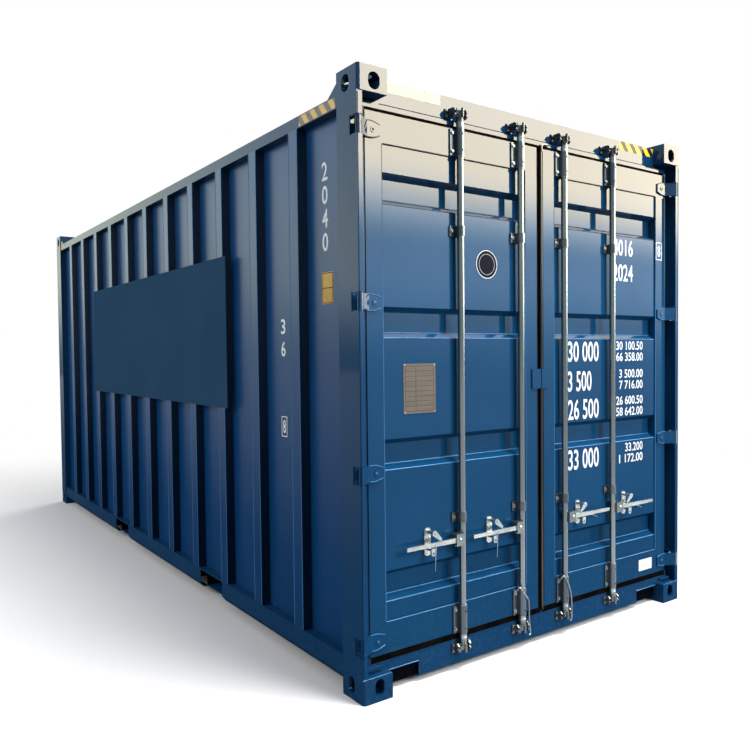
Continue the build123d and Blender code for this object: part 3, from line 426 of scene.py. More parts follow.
TURNS = {
    "+x": lambda p: p[..., [2, 0, 1]],
    "+y": lambda p: p[..., [0, 2, 1]] * (-1, 1, 1),
    "-y": lambda p: p[..., [0, 2, 1]] * (1, -1, 1),
    "+z": lambda p: p,
    "-z": lambda p: p * (1, -1, -1),
}


def turned(profile, sides, facing):
    """A profile turned about an axis: ring i has radius r[i] at height h[i] along the facing."""
    rings = stacked([(circle(sides) * radius, height) for radius, height in profile])
    return loft(TURNS[facing](rings))


def moved(shape, place):
    """A shape carried to its place: every point + place."""
    return shape[0] + np.asarray(place, float), shape[1]


def copies(shape, places):
    """One shape at every place: point (i, j) = place[i] + shape point[j]."""
    return together([moved(shape, place) for place in places])


panel_low, panel_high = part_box("marking_panel")
rivet = turned([(0.0060, -0.0005), (0.0058, 0.0010), (0.0040, 0.0024), (0.0014, 0.0029)], 10, "-y")
rivet_inset, rivet_rows = 0.018, 5
behind = rib_places[(rib_places > panel_low[0]) & (rib_places < panel_high[0])]
heights = np.linspace(panel_low[2] + rivet_inset, panel_high[2] - rivet_inset, rivet_rows)
rivet_places = [(x, panel_low[1], z) for x in behind for z in (heights[0], heights[-1])]
rivet_places += [(x, panel_low[1], z) for x in (behind[0], behind[-1]) for z in heights[1:-1]]
make("panel_rivets", copies(rivet, rivet_places), PANEL_BLUE, "frame")


# Floor: plywood boards, laid across and screwed to the cross members, with a clear sealer. The
# countersunk screws stand a hair proud in rows over each cross member.
FLOOR = Finish("floor_ply", IOR=1.45)
along, across, _ = FLOOR.axes()
grain = FLOOR.noise(9.0, 6.0, (1.0, 14.0, 1.0))
ply = FLOOR.blend(grain.over(0.5, 0.5), rgb(150, 108, 66), rgb(190, 148, 98))
board_length = 1.22
seam = ((along / board_length).math("FRACT") - 0.5).math("ABSOLUTE").over(0.4985, 0.0015)
FLOOR.feed("Base Color", FLOOR.blend(seam, ply, rgb(40, 28, 18)))
FLOOR.feed("Roughness", 0.45 + grain * 0.2)
FLOOR.feed("Normal", FLOOR.bump(grain - seam * 3.0, 0.15, 0.002))
dress(FLOOR, "floor")


def zinc(name, colour, shade, rough):
    """Zinc coat: fine spangle in the roughness, darker streaks along the height, slight bump."""
    finish = Finish(name, IOR=1.8, Metallic=0.8)
    cells = {"Vector": finish.place(), "Scale": 90.0}
    spangle = finish.node("ShaderNodeTexVoronoi", None, cells, out="Color")
    flake = finish.node("ShaderNodeSeparateColor", None, {0: spangle})
    streak = finish.noise(5.0, 3.0, (1.0, 1.0, 0.12))
    finish.feed("Base Color", finish.blend(streak.over(0.52, 0.35), colour, shade))
    finish.feed("Roughness", rough + flake * 0.04 + streak * 0.06)
    finish.feed("Normal", finish.bump(finish.noise(120.0, 2.0), 0.05, 0.0003))
    return finish


SCREW_ZINC = zinc("screw_zinc", rgb(120, 118, 110), rgb(84, 82, 76), 0.4)
screw = turned([(0.0055, -0.0004), (0.0055, 0.0003), (0.0044, 0.0006), (0.0012, 0.0003)], 8, "+z")
floor_low, floor_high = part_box("floor")
screw_inset, screws_across = 0.05, 9
screw_rows = np.linspace(floor_low[1] + screw_inset, floor_high[1] - screw_inset, screws_across)
screw_places = [(x, y, floor_high[2]) for x in evenly(13, pitch=0.396) for y in screw_rows]
make("floor_screws", copies(screw, screw_places), SCREW_ZINC, "frame")


# Door leaves: a frame of square tube with a folded panel, in the same glossy paint but a little
# brighter because the doors are sprayed flat on a bench, with painted shade high up. A bead follows
# the panel's folds, and the bent edges carry a painted highlight low down and painted shade high up.
SIDES = {"left": -1, "right": 1}
DOOR_BLUE = paint("door_blue", rgb(14, 61, 98), rgb(18, 67, 105), top_shade=0.6)
for part in ("door_frame", "door_panel", "hinges", "lock_plate"):
    dress(DOOR_BLUE, f"left_{part}", f"right_{part}")
# The rim colour is painted light: a pale painted highlight low down that turns to dark painted shade
# high up.
RIM_HIGHLIGHT_AND_SHADE = Finish("rim_highlight_and_shade", IOR=1.5, Specular_IOR_Level=0.0, Coat_Weight=0.3, Coat_Roughness=0.15)
rim_top_shade = RIM_HIGHLIGHT_AND_SHADE.axes()[2].over(2.05, 0.5)
RIM_HIGHLIGHT_AND_SHADE.feed("Base Color", RIM_HIGHLIGHT_AND_SHADE.blend(rim_top_shade, rgb(52, 112, 164), rgb(24, 44, 66)))
RIM_HIGHLIGHT_AND_SHADE.feed("Roughness", 0.35 + RIM_HIGHLIGHT_AND_SHADE.noise(30.0) * 0.1)
leaf_face = span("left_door_frame", "x")[1]
panel_face = span("left_door_panel", "x")[1]
fold_depth, fold_half, fold_run = 0.041, 0.048, 0.025
first_fold, fold_pitch, fold_count = 0.502, 0.624, 4
fold_places = first_fold + fold_pitch * np.arange(fold_count)


def fold_line(z):
    """How far out the door panel's face is at height z: straight runs into and out of each fold."""
    away = np.abs(z[:, None] - fold_places).min(1)
    return panel_face - fold_depth * np.clip((fold_half + fold_run - away) / fold_run, 0, 1)


weld_width, weld_stroke, weld_points = 0.007, 0.014, 520
rim_radius, rim_sunk, bend_out, root_out = 0.003, 0.0023, 0.0018, 0.001
crest_x, root_x, rim_x = panel_face - bend_out, panel_face - fold_depth + root_out, leaf_face - rim_sunk
for side in SIDES:
    (_, panel_left, panel_base), (_, panel_right, panel_top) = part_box(f"{side}_door_panel")
    heights = np.linspace(panel_base, panel_top, weld_points)
    thick = weld_width / 2 * (1 + ripple_depth * np.sin(heights * 2 * np.pi / weld_stroke))
    welds = []
    for y in (panel_left, panel_right):
        path = np.stack([fold_line(heights), np.full(len(heights), y), heights], 1)
        welds.append(bar(path, thick, weld_sides, across=(0, 1, 0)))
    for z in (panel_base, panel_top):
        seam_ends = ((panel_face, y, z) for y in (panel_left, panel_right))
        welds.append(bead(*seam_ends, weld_width, weld_stroke))
    make(f"{side}_door_welds", together(welds), SEAM_BLUE, f"{side}_door")
    near, far = panel_left + fold_gap, panel_right - fold_gap
    # The fold bars take the rim colour: painted highlight low down, painted shade high up.
    folds = []
    for fold in fold_places:
        crest_z, root_z = fold - fold_half - fold_run, fold - fold_half
        folds.append(rounding((crest_x, near, crest_z), (crest_x, far, crest_z)))
        folds.append(rounding((root_x, near, root_z), (root_x, far, root_z), rim_radius))
    for z in (panel_base - bend_out, panel_top + bend_out):
        folds.append(rounding((rim_x, near, z), (rim_x, far, z), rim_radius))
    for y in (panel_left - bend_out, panel_right + bend_out):
        folds.append(upright(rim_x, y, panel_base, panel_top, rim_radius))
    make(f"{side}_door_folds", together(folds), RIM_HIGHLIGHT_AND_SHADE, f"{side}_door")


# Door gaskets: black extruded rubber with fine ribs along it, held round each leaf by a flat
# retaining strip and rivets. Its outer edge caught blue overspray from the posts, which turns pale
# grey high up as a painted reflection. A wider lip wipes the sill.
GASKET = Finish("gasket_rubber", IOR=1.5, Specular_IOR_Level=0.0)
_, gasket_y, gasket_z = GASKET.axes()
lips = ((gasket_y + gasket_z) * 900.0).math("SINE")
gasket_tint = GASKET.blend(GASKET.noise(14.0, 3.0).over(0.55, 0.4), rgb(11, 9, 9), rgb(21, 18, 17))
# Blue overspray low down; the pale grey high up is a painted reflection.
overspray_and_reflection = GASKET.blend(gasket_z.over(1.9, 0.6), rgb(34, 58, 88), rgb(106, 116, 120))
spray_reach = 1.1435
outer_edge = gasket_y.math("ABSOLUTE").over(spray_reach, 0.001)
GASKET.feed("Base Color", GASKET.blend(outer_edge, gasket_tint, overspray_and_reflection))
GASKET.feed("Roughness", 0.62 + GASKET.noise(40.0) * 0.15)
GASKET.feed("Normal", GASKET.bump(lips, 0.25, 0.0008))
lip_face, lip_thick = leaf_face + 0.0002, 0.0023
lip_inner, lip_outer, lip_base, lip_upper = 0.007, 1.156, 0.158, 0.187
for side, s in SIDES.items():
    dress(GASKET, f"{side}_door_gasket")
    near, far = sorted((s * lip_inner, s * lip_outer))
    lip = block((lip_face, near, lip_base), (lip_face + lip_thick, far, lip_upper))
    make(f"{side}_door_sill_lip", lip, GASKET, f"{side}_door")


# Centre seal: a hollow rubber bulb with a polished skin on the right leaf's edge, and its moulded end
# cap, which hooks over the top of the leaf.
BULB = Finish("seal_bulb", IOR=1.5, Specular_IOR_Level=0.0, Coat_Weight=1.0, Coat_Roughness=0.12)
BULB.feed("Base Color", BULB.blend(BULB.noise(20.0, 3.0), rgb(24, 21, 18), rgb(40, 34, 28)))
BULB.feed("Roughness", 0.5 + BULB.noise(40.0) * 0.2)
bulb_x, bulb_y, bulb_radius, cap_overlap = leaf_face - 0.0055, 0.0135, 0.0085, 0.012
seal_base, seal_top = span("right_door_gasket", "z")
bulb_heights = np.linspace(seal_base, seal_top - cap_overlap, 12)
bulb = bar([(bulb_x, bulb_y, z) for z in bulb_heights], bulb_radius, sides=14)
cap_x = leaf_face - 0.0015
cap_route = ((0.012, 2.700), (0.012, 2.730), (0.030, 2.741), (0.085, 2.742))
cap_path = [(cap_x, y, z) for y, z in cap_route]
cap = bar(cap_path, (0.010, 0.009, 0.006, 0.003), sides=12, across=(1, 0, 0))
make("centre_seal", together([bulb, cap]), BULB, "right_door")


# Hinges: forged blades with a raised rim above and below, a plug weld in the boss, and pins whose
# domed heads sit on the post's lugs.
hinge_places = np.linspace(0.258, 2.630, 4)
pin_x, pin_y, pin_rise = 3.008, 1.203, 0.052
blade_face, boss_thick, plug_y = leaf_face + 0.008, 0.003, 1.104
rim_width, rim_steps = 0.0028, np.linspace(0, 3, 25)
rim_out = np.interp(rim_steps, range(4), (1.144, 1.107, 1.087, 1.066))
rim_rise = np.interp(rim_steps, range(4), (0.0375, 0.0375, 0.0322, 0.0250))
plug = turned([(0.0065, -0.001), (0.0062, 0.0008), (0.004, 0.0022), (0.001, 0.0026)], 12, "+x")
pin_profile = [(0.0095, 0.0), (0.0095, 0.0024), (0.0070, 0.0045), (0.0020, 0.0052)]
pin_heads = {1: turned(pin_profile, 14, "+z"), -1: turned(pin_profile, 14, "-z")}
for side, s in SIDES.items():
    details, heads = [], []
    for z in hinge_places:
        for up in (-1, 1):
            path = np.stack([np.full(len(rim_steps), blade_face), s * rim_out, z + up * rim_rise], 1)
            details.append(bar(path, rim_width, sides=6, across=(1, 0, 0)))
        details.append(moved(plug, (blade_face + boss_thick, s * plug_y, z)))
        for up, head in pin_heads.items():
            heads.append(moved(head, (pin_x, s * pin_y, z + up * pin_rise)))
    # The rims and plug welds take the rim colour: painted highlight low down, painted shade high up.
    make(f"{side}_hinge_rims", together(details), RIM_HIGHLIGHT_AND_SHADE, f"{side}_door")
    make(f"{side}_pin_heads", together(heads), FRAME_BLUE, "frame")


# Lock rods and their brackets: drawn tube and forgings, hot dipped in zinc. Bolts with washers
# hold the bracket plates, and stepped rings keep each rod in its bearings.
ROD_ZINC = Finish("rod_zinc", IOR=1.8)
_, _, rod_up = ROD_ZINC.axes()
# Painted shade: the cams and keepers at the top are painted near black, and those at the bottom half as
# dark.
upper_cam, lower_cam = 2.752, 0.150
cam_shade_mask = rod_up.over(upper_cam, 0.012) + (1 - rod_up.over(lower_cam, 0.012)) * 0.5
rod_streak = ROD_ZINC.noise(5.0, 3.0, (1.0, 1.0, 0.12))
rod_tube = ROD_ZINC.blend(rod_streak.over(0.52, 0.35), rgb(124, 132, 135), rgb(98, 108, 114))
cam_shade_tint = ROD_ZINC.blend(ROD_ZINC.noise(55.0, 3.0).over(0.5, 0.4), rgb(26, 31, 38), rgb(62, 69, 76))
ROD_ZINC.feed("Base Color", ROD_ZINC.blend(cam_shade_mask, rod_tube, cam_shade_tint))
ROD_ZINC.feed("Metallic", 0.8 - cam_shade_mask * 0.25)
ROD_ZINC.feed("Roughness", 0.15 + rod_streak * 0.04 + cam_shade_mask * 0.2)
ROD_ZINC.feed("Normal", ROD_ZINC.bump(ROD_ZINC.noise(70.0, 3.0) * cam_shade_mask, 0.4, 0.0015))
FORGED_ZINC = zinc("forged_zinc", rgb(92, 100, 106), rgb(58, 68, 78), 0.28)
HANDLE_ZINC = zinc("handle_zinc", rgb(178, 184, 184), rgb(138, 146, 150), 0.24)
BOLT_ZINC = zinc("bolt_zinc", rgb(150, 158, 162), rgb(96, 106, 114), 0.25)
dress(ROD_ZINC, "cam_keepers")
RODS = {"inner": 0.171, "outer": 0.593}
rod_x, bolt_out, bracket_plate = 2.995, 0.0365, 0.008
bracket_bolts = [(leaf_face + bracket_plate, z) for z in (0.209, 0.306, 2.602, 2.692)]
bracket_bolts += [(panel_face + bracket_plate, z) for z in (0.778, 2.210)]
washer = turned([(0.0115, -0.0002), (0.0115, 0.0014), (0.0105, 0.0018)], 16, "+x")
bolt = turned([(0.0088, 0.0016), (0.0088, 0.0062), (0.0076, 0.0078), (0.0030, 0.0080)], 6, "+x")
stop_ring = [(0.0175, 0.0), (0.0190, 0.0015), (0.0190, 0.0105), (0.0178, 0.0120), (0.0178, 0.0170),
             (0.0190, 0.0185), (0.0190, 0.0260), (0.0175, 0.0270)]
stops = {0.158: turned(stop_ring, 24, "+z"), 2.742: turned(stop_ring, 24, "-z")}
for side, s in SIDES.items():
    dress(FORGED_ZINC, f"{side}_rod_brackets")
    dress(HANDLE_ZINC, f"{side}_handle_retainers")
    places = [(x, s * place - bolt_out, z) for place in RODS.values() for x, z in bracket_bolts]
    bolts = copies(together([washer, bolt]), places)
    make(f"{side}_bracket_bolts", bolts, BOLT_ZINC, f"{side}_door")
    for name, place in RODS.items():
        dress(ROD_ZINC, f"{side}_{name}_rod")
        dress(HANDLE_ZINC, f"{side}_{name}_handle", f"{side}_{name}_latch")
        rings = together([moved(ring, (rod_x, s * place, z)) for z, ring in stops.items()])
        make(f"{side}_{name}_rod_rings", rings, BOLT_ZINC, f"{side}_{name}_rod")


# Grease plugs: dark rubber buttons pressed into the grease holes, which are drilled in the front of
# each long bearing near its two ends.
button = turned([(0.0042, -0.0006), (0.0042, 0.0008), (0.0030, 0.0016), (0.0010, 0.0018)], 10, "+x")
bearing_front, button_heights = rod_x + 0.0214, (0.214, 0.302, 2.607, 2.687)
for side, s in SIDES.items():
    places = [(bearing_front, s * y, z) for y in RODS.values() for z in button_heights]
    make(f"{side}_grease_plugs", copies(button, places), GASKET, f"{side}_door")


# Keeper bolts: small zinc plated hexagon bolts through the corners of each keeper's foot, beside its
# notched cheeks. They hold the keepers to the header and the sill.
foot_out, foot_rise, foot_thick = 0.051, 0.014, 0.008
keeper_places = []
for face, cam_z in ((sill_face, 0.115), (header_face, 2.790)):
    for y in np.outer((-1, 1), tuple(RODS.values())).ravel():
        for z in (cam_z - foot_rise, cam_z + foot_rise):
            keeper_places += [(face + foot_thick, y + step, z) for step in (-foot_out, foot_out)]
keeper_bolt = turned([(0.0066, -0.0003), (0.0066, 0.0040), (0.0056, 0.0052), (0.0020, 0.0053)], 6, "+x")
make("keeper_bolts", copies(keeper_bolt, keeper_places), BOLT_ZINC, "frame")


# Handles: domed rivet heads on the clevis, round pin heads on the latches, and small bolts on
# the retainer plates, all zinc plated.
rivet_head = turned([(0.0105, -0.0003), (0.0100, 0.0018), (0.0068, 0.0038), (0.0020, 0.0045)], 16, "+x")
latch_head = turned([(0.0072, -0.0003), (0.0072, 0.0003), (0.0066, 0.0005), (0.0012, 0.0002)], 14, "+x")
small_bolt = turned([(0.0062, -0.0003), (0.0062, 0.0034), (0.0052, 0.0044), (0.0020, 0.0045)], 6, "+x")
latch_places = {"left": {"inner": 0.386, "outer": 0.798}, "right": {"inner": 0.309, "outer": 0.731}}
handle_z, latch_z, clevis_out = 0.671, 0.729, 0.038
retainer_face, retainer_bolt_z, retainer_bolt_out = panel_face + 0.006, 0.697, 0.010
for side, s in SIDES.items():
    for name, place in RODS.items():
        lock = f"{side}_{name}"
        front = span(f"{lock}_rod", "x")[1]
        head = moved(rivet_head, (front, s * (place + clevis_out), handle_z))
        make(f"{lock}_rivet_head", head, BOLT_ZINC, f"{lock}_handle")
        front = span(f"{lock}_latch", "x")[1]
        head = moved(latch_head, (front, s * latch_places[side][name], latch_z))
        make(f"{lock}_latch_head", head, BOLT_ZINC, f"{lock}_latch")
    steps = (-retainer_bolt_out, retainer_bolt_out)
    columns = [s * y + step for y in latch_places[side].values() for step in steps]
    places = [(retainer_face, y, retainer_bolt_z) for y in columns]
    make(f"{side}_retainer_bolts", copies(small_bolt, places), BOLT_ZINC, f"{side}_door")


# Tie hooks: bent wire that holds an open door to the side wall. When the doors are shut each hangs
# from the inner rod's bottom bracket and crosses in front of it.
def flowing(points, steps=12):
    """A Catmull-Rom curve through the points: a cubic between each pair, with slopes from neighbours."""
    p = np.asarray(points, float)
    p = np.vstack([2 * p[0] - p[1], p, 2 * p[-1] - p[-2]])
    t = np.linspace(0, 1, steps, endpoint=False)[None, :, None]
    a, b, c, d = (p[i:len(p) - 3 + i, None] for i in range(4))
    bend, turn_back = 2 * a - 5 * b + 4 * c - d, 3 * b - a - 3 * c + d
    curve = 0.5 * (2 * b + (c - a) * t + bend * t ** 2 + turn_back * t ** 3)
    return np.vstack([curve.reshape(-1, 3), p[-2]])


wire_x, wire_radius = rod_x + 0.0266, 0.0038
hook_paths = {
    "left": [(-0.048, 0.328, -0.018), (-0.044, 0.347, -0.004), (-0.030, 0.338, 0), (-0.014, 0.312, 0),
             (0.006, 0.290, 0), (0.026, 0.262, -0.004), (0.038, 0.215, -0.012), (0.043, 0.150, -0.016),
             (0.050, 0.095, -0.016), (0.051, 0.078, -0.016), (0.040, 0.070, -0.014)],
    "right": [(-0.048, 0.322, -0.018), (-0.042, 0.345, -0.004), (-0.026, 0.335, 0), (-0.010, 0.308, 0),
              (0.004, 0.280, 0), (0.022, 0.240, -0.003), (0.036, 0.190, -0.010), (0.042, 0.140, -0.014),
              (0.044, 0.090, -0.016), (0.038, 0.076, -0.016), (0.028, 0.078, -0.014)],
}
for side, s in SIDES.items():
    path = [(wire_x + x, s * RODS["inner"] + y, z) for y, z, x in hook_paths[side]]
    hook = bar(flowing(path), wire_radius, sides=8)
    make(f"{side}_tie_hook", hook, BOLT_ZINC, f"{side}_door")


# Seal tags: pale nylon tails of the numbered seals, drawn through each handle. They are stiff, so the
# left ones stand straight down and the right ones lie out along their handles.
TAG = Finish("seal_tag", IOR=1.5, Specular_IOR_Level=0.3)
TAG.feed("Base Color", TAG.blend(TAG.noise(60.0), rgb(196, 202, 226), rgb(170, 178, 208)))
TAG.feed("Roughness", 0.4 + TAG.noise(80.0) * 0.1)
tag_steps = np.linspace(0, 1, 9)
tag_radius = 0.0018 - 0.0011 * tag_steps
tag_x, tag_z = rod_x + 0.0251, handle_z - 0.002
tag_aside = {"left": 0.014, "right": 0.030}
tag_run = {"left": (0.0, -0.006, -0.128), "right": (0.0, 0.085, -0.018)}
tag_droop = {"left": 0.0, "right": -0.010}
for side, s in SIDES.items():
    for name, place in latch_places[side].items():
        start = np.array((tag_x, s * place + tag_aside[side], tag_z))
        droop = np.outer(tag_steps ** 2, (0.0, 0.0, tag_droop[side]))
        tail = bar(start + np.outer(tag_steps, tag_run[side]) + droop, tag_radius, sides=6)
        make(f"{side}_{name}_seal_tag", tail, TAG, f"{side}_{name}_handle")


# Data plate: bare stainless sheet with a fine lengthwise brush, a pressed border, blank ruled
# rows and a rivet in each corner.
PLATE = Finish("plate_stainless", IOR=1.6, Metallic=0.1, Specular_IOR_Level=0.1)
brush = PLATE.noise(60.0, 3.0, (1.0, 0.06, 1.0))
PLATE.feed("Base Color", PLATE.blend(brush, rgb(84, 79, 73), rgb(106, 100, 94)))
PLATE.feed("Roughness", 0.42 + brush * 0.15)
dress(PLATE, "data_plate")
plate_low, plate_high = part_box("data_plate")
plate_x, plate_border, rivet_border, column_width = plate_high[0], 0.012, 0.006, 0.062


def within(border):
    """The plate's reach along y and along z, less a border all round."""
    return ((plate_low[i] + border, plate_high[i] - border) for i in (1, 2))


(left, right), (base, top) = within(plate_border)
rules = [bar([(plate_x, y, z) for y in (left, right)], 0.0007, 4) for z in np.linspace(base, top, 10)]
for y in (left, right, left + column_width):
    rules.append(bar([(plate_x, y, base), (plate_x, y, top)], 0.0008, 4))
make("plate_rules", together(rules), GASKET, "left_door")
plate_rivet = turned([(0.0040, -0.0003), (0.0036, 0.0012), (0.0022, 0.0021), (0.0008, 0.0024)], 12, "+x")
corner_ys, corner_zs = within(rivet_border)
corners = [(plate_x, y, z) for y in corner_ys for z in corner_zs]
make("plate_rivets", copies(plate_rivet, corners), BOLT_ZINC, "left_door")


# Marks: figures, frames and bare labels cut from thin vinyl and pressed on the clean paint of the
# right door, the left door and the left wall's flats. They hold plain numbers only.
WHITE = Finish("white_vinyl", IOR=1.45, Specular_IOR_Level=0.05)
wear = WHITE.noise(90.0, 4.0)
WHITE.feed("Base Color", WHITE.blend(wear.over(0.62, 0.3), rgb(236, 240, 241), rgb(186, 198, 208)))
WHITE.feed("Roughness", 0.45 + wear * 0.2)
VINYL = 0.0006


def figures(text, height, width, middle, facing):
    """Plain figures as thin vinyl: the built in face, scaled to the height and width asked."""
    words = bpy.data.curves.new("figures", "FONT")
    words.body, words.extrude, words.offset, words.resolution_u = text, 1.0, 0.012, 3
    holder = bpy.data.objects.new("figures", words)
    mesh = bpy.data.meshes.new_from_object(holder)
    points = np.array([vertex.co for vertex in mesh.vertices])
    faces = [list(face.vertices) for face in mesh.polygons]
    low, high = points.min(0), points.max(0)
    points = (points - (low + high) / 2) / (high - low) * (width, height, VINYL)
    bpy.data.objects.remove(holder)
    bpy.data.curves.remove(words)
    bpy.data.meshes.remove(mesh)
    return TURNS[facing](points) + middle, faces


def ring_of(outline, inner, facing, middle):
    """A flat frame: an outline and its smaller copy at the back and front, joined round."""
    rings = stacked([(outline, 0), (outline, VINYL), (inner, VINYL), (inner, 0)])
    count, sides = rings.shape[:2]
    j, i = np.arange(sides), np.arange(count)[:, None]
    here, above, after = i * sides, (i + 1) % count * sides, (j + 1) % sides
    quads = np.stack([here + j, here + after, above + after, above + j], 2)
    return TURNS[facing](rings.reshape(-1, 3)) + middle, quads.reshape(-1, 4).tolist()


def rounded(width, height, corner, steps=5):
    """Outline of a rounded rectangle: four quarter circles about the corner centres."""
    quarter = np.repeat(np.arange(4), steps)
    angle = np.tile(np.linspace(0, np.pi / 2, steps), 4) + quarter * np.pi / 2
    sign = np.array([[1, 1], [-1, 1], [-1, -1], [1, -1]])[quarter]
    centre = sign * (width / 2 - corner, height / 2 - corner)
    return centre + corner * np.stack([np.cos(angle), np.sin(angle)], 1)


def patch(width, height, corner, middle, facing):
    """A thin rounded plate with its back on the surface and a slight chamfer round its front."""
    outline = rounded(width, height, corner)
    front = outline * (1 - 0.3 * VINYL / width)
    points, faces = loft(stacked([(outline, 0), (outline, VINYL * 0.7), (front, VINYL)]))
    return TURNS[facing](points) + middle, faces


number_y, number_width = 0.735, 0.190
marks = [figures("4016", 0.100, number_width, (panel_face, number_y, 2.232), "+x")]
marks.append(figures("2024", 0.104, number_width, (panel_face, number_y, 2.080), "+x"))
boxed = (leaf_face, 1.085, 2.235)
marks.append(figures("8", 0.070, 0.028, boxed, "+x"))
marks.append(ring_of(rounded(0.062, 0.112, 0.004), rounded(0.052, 0.102, 0.003), "+x", boxed))
big_left, big_height = 0.236, 0.118
small_right, small_height, small_width, small_rise = 0.930, 0.053, 0.029, 0.034
weights = [
    ("30 000", 0.270, "30 100.50", "66 358.00", 1.604),
    ("3 500", 0.205, "3 500.00", "7 716.00", 1.433),
    ("26 500", 0.270, "26 600.50", "58 642.00", 1.270),
    ("33 000", 0.270, "33.200", "1 172.00", 0.980),
]
for big, big_width, upper, lower, z in weights:
    middle = (panel_face, big_left + big_width / 2, z)
    marks.append(figures(big, big_height, big_width, middle, "+x"))
    for figure, rise in ((upper, small_rise), (lower, -small_rise)):
        width = small_width * len(figure)
        middle = (panel_face, small_right - width / 2, z + rise)
        marks.append(figures(figure, small_height, width, middle, "+x"))
marks.append(patch(0.132, 0.070, 0.004, (leaf_face, 0.947, 0.258), "+x"))
make("right_door_marks", together(marks), WHITE, "right_door", crease=60)

wall_face = rib_depth - crest_y
count_x = 2.183
standing = [("2040", 0.0905, 0.0535, 2.642, 2.498, 0.115), ("36", 0.082, 0.0495, count_x, 1.754, 0.121)]
marks = []
for number, height, width, x, top, drop in standing:
    for i, figure in enumerate(number):
        marks.append(figures(figure, height, width, (x, wall_face, top - drop * i), "-y"))
boxed = (count_x, wall_face, 1.211)
marks.append(figures("8", 0.072, 0.031, boxed, "-y"))
marks.append(ring_of(rounded(0.064, 0.111, 0.004), rounded(0.054, 0.101, 0.003), "-y", boxed))
make("side_marks", together(marks), WHITE, "frame", crease=60)

YELLOW = Finish("yellow_vinyl", IOR=1.45, Specular_IOR_Level=0.2)
faded = YELLOW.noise(50.0, 4.0).over(0.6, 0.3)
YELLOW.feed("Base Color", YELLOW.blend(faded, rgb(200, 164, 92), rgb(172, 140, 84)))
YELLOW.feed("Roughness", 0.5 + YELLOW.noise(90.0) * 0.1)
label_middle = np.array((2.659, wall_face, 1.9275))
label = patch(0.108, 0.156, 0.004, label_middle, "-y")
make("yellow_label", label, YELLOW, "frame", crease=60)
BLACK = Finish("black_vinyl", IOR=1.45, Specular_IOR_Level=0.02)
BLACK.feed("Base Color", BLACK.blend(BLACK.noise(30.0, 3.0), rgb(15, 18, 27), rgb(24, 28, 38)))
BLACK.feed("Roughness", 0.4 + BLACK.noise(60.0) * 0.15)
on_label = label_middle - (0, VINYL, 0)
lines = [ring_of(rounded(0.100, 0.148, 0.003), rounded(0.095, 0.143, 0.003), "-y", on_label)]
lines.append(patch(0.095, 0.003, 0.001, on_label, "-y"))
make("yellow_label_lines", together(lines), BLACK, "frame", crease=60)

disc_middle = np.array((panel_face, -0.389, 2.06))
disc = turned([(0.0755, 0.0), (0.0755, VINYL), (0.0400, VINYL * 1.05)], 48, "+x")
make("door_disc", moved(disc, disc_middle), BLACK, "left_door", crease=60)
on_disc = disc_middle + (VINYL, 0, 0)
disc_rings = []
for radius, width in ((0.0735, 0.004), (0.0540, 0.0015)):
    disc_rings.append(ring_of(circle(64) * radius, circle(64) * (radius - width), "+x", on_disc))
make("door_disc_rings", together(disc_rings), WHITE, "left_door", crease=60)


# Height stripes: yellow and black bands of vinyl that warn of a taller container, at both ends of
# the header and of each top rail. The sun has bleached the header's left one most.
STRIPES = Finish("height_stripes", IOR=1.45, Specular_IOR_Level=0.0, Coat_Weight=0.25)
sx, sy, sz = STRIPES.axes()
stripe_pitch, stripe_lean = 0.086, 0.8
dark = ((sx + sy + sz * stripe_lean) / stripe_pitch).math("FRACT").over(0.5, 0.02)
chips = STRIPES.noise(120.0, 4.0).over(0.66, 0.06)
band = STRIPES.blend(dark, rgb(236, 190, 60), rgb(34, 36, 42))
on_header = sx.over(2.9, 0.05)
bleached = on_header * (1 - sy.over(0.0, 0.1)) * 0.75 + (1 - on_header) * 0.35
band = STRIPES.blend(bleached, band, rgb(222, 208, 188))
STRIPES.feed("Base Color", STRIPES.blend(chips, band, rgb(70, 84, 100)))
STRIPES.feed("Roughness", 0.42 + STRIPES.noise(60.0) * 0.15)
rail_face, rail_z, header_z, stripe_corner = span("right_top_rail", "y")[1], 2.770, 2.8505, 0.002
stripes = []
for y in (-0.850, 0.885):
    stripes.append(patch(0.340, 0.052, stripe_corner, (header_face, y, header_z), "+x"))
for s, facing in ((-1, "-y"), (1, "+y")):
    for x, length in ((2.655, 0.350), (-2.775, 0.230)):
        stripes.append(patch(length, 0.050, stripe_corner, (x, s * rail_face, rail_z), facing))
make("height_stripes", together(stripes), STRIPES, "frame", crease=60)


# Stage: a plain pale floor that fades to white far off, a white surround for the camera, and a
# bright band of sky above a dim horizon that only the gloss shows.
floor_drop = 0.0005


def ring_floor(radius, rings, sides):
    """A flat disc: point (i, j) at radius * (i / rings) ** 2 and angle 2 pi j / sides."""
    r = radius * (np.arange(1, rings + 1) / rings) ** 2
    points = np.full((rings * sides + 1, 3), (0, 0, -floor_drop))
    points[1:, :2] = (r[:, None, None] * circle(sides)).reshape(-1, 2)
    j = np.arange(sides)
    after = (j + 1) % sides
    inner = np.stack([np.zeros(sides, int), 1 + j, 1 + after], 1)
    start = 1 + np.arange(rings - 1)[:, None] * sides
    quads = np.stack([start + j, start + sides + j, start + sides + after, start + after], 2)
    return points, inner.tolist() + quads.reshape(-1, 4).tolist()


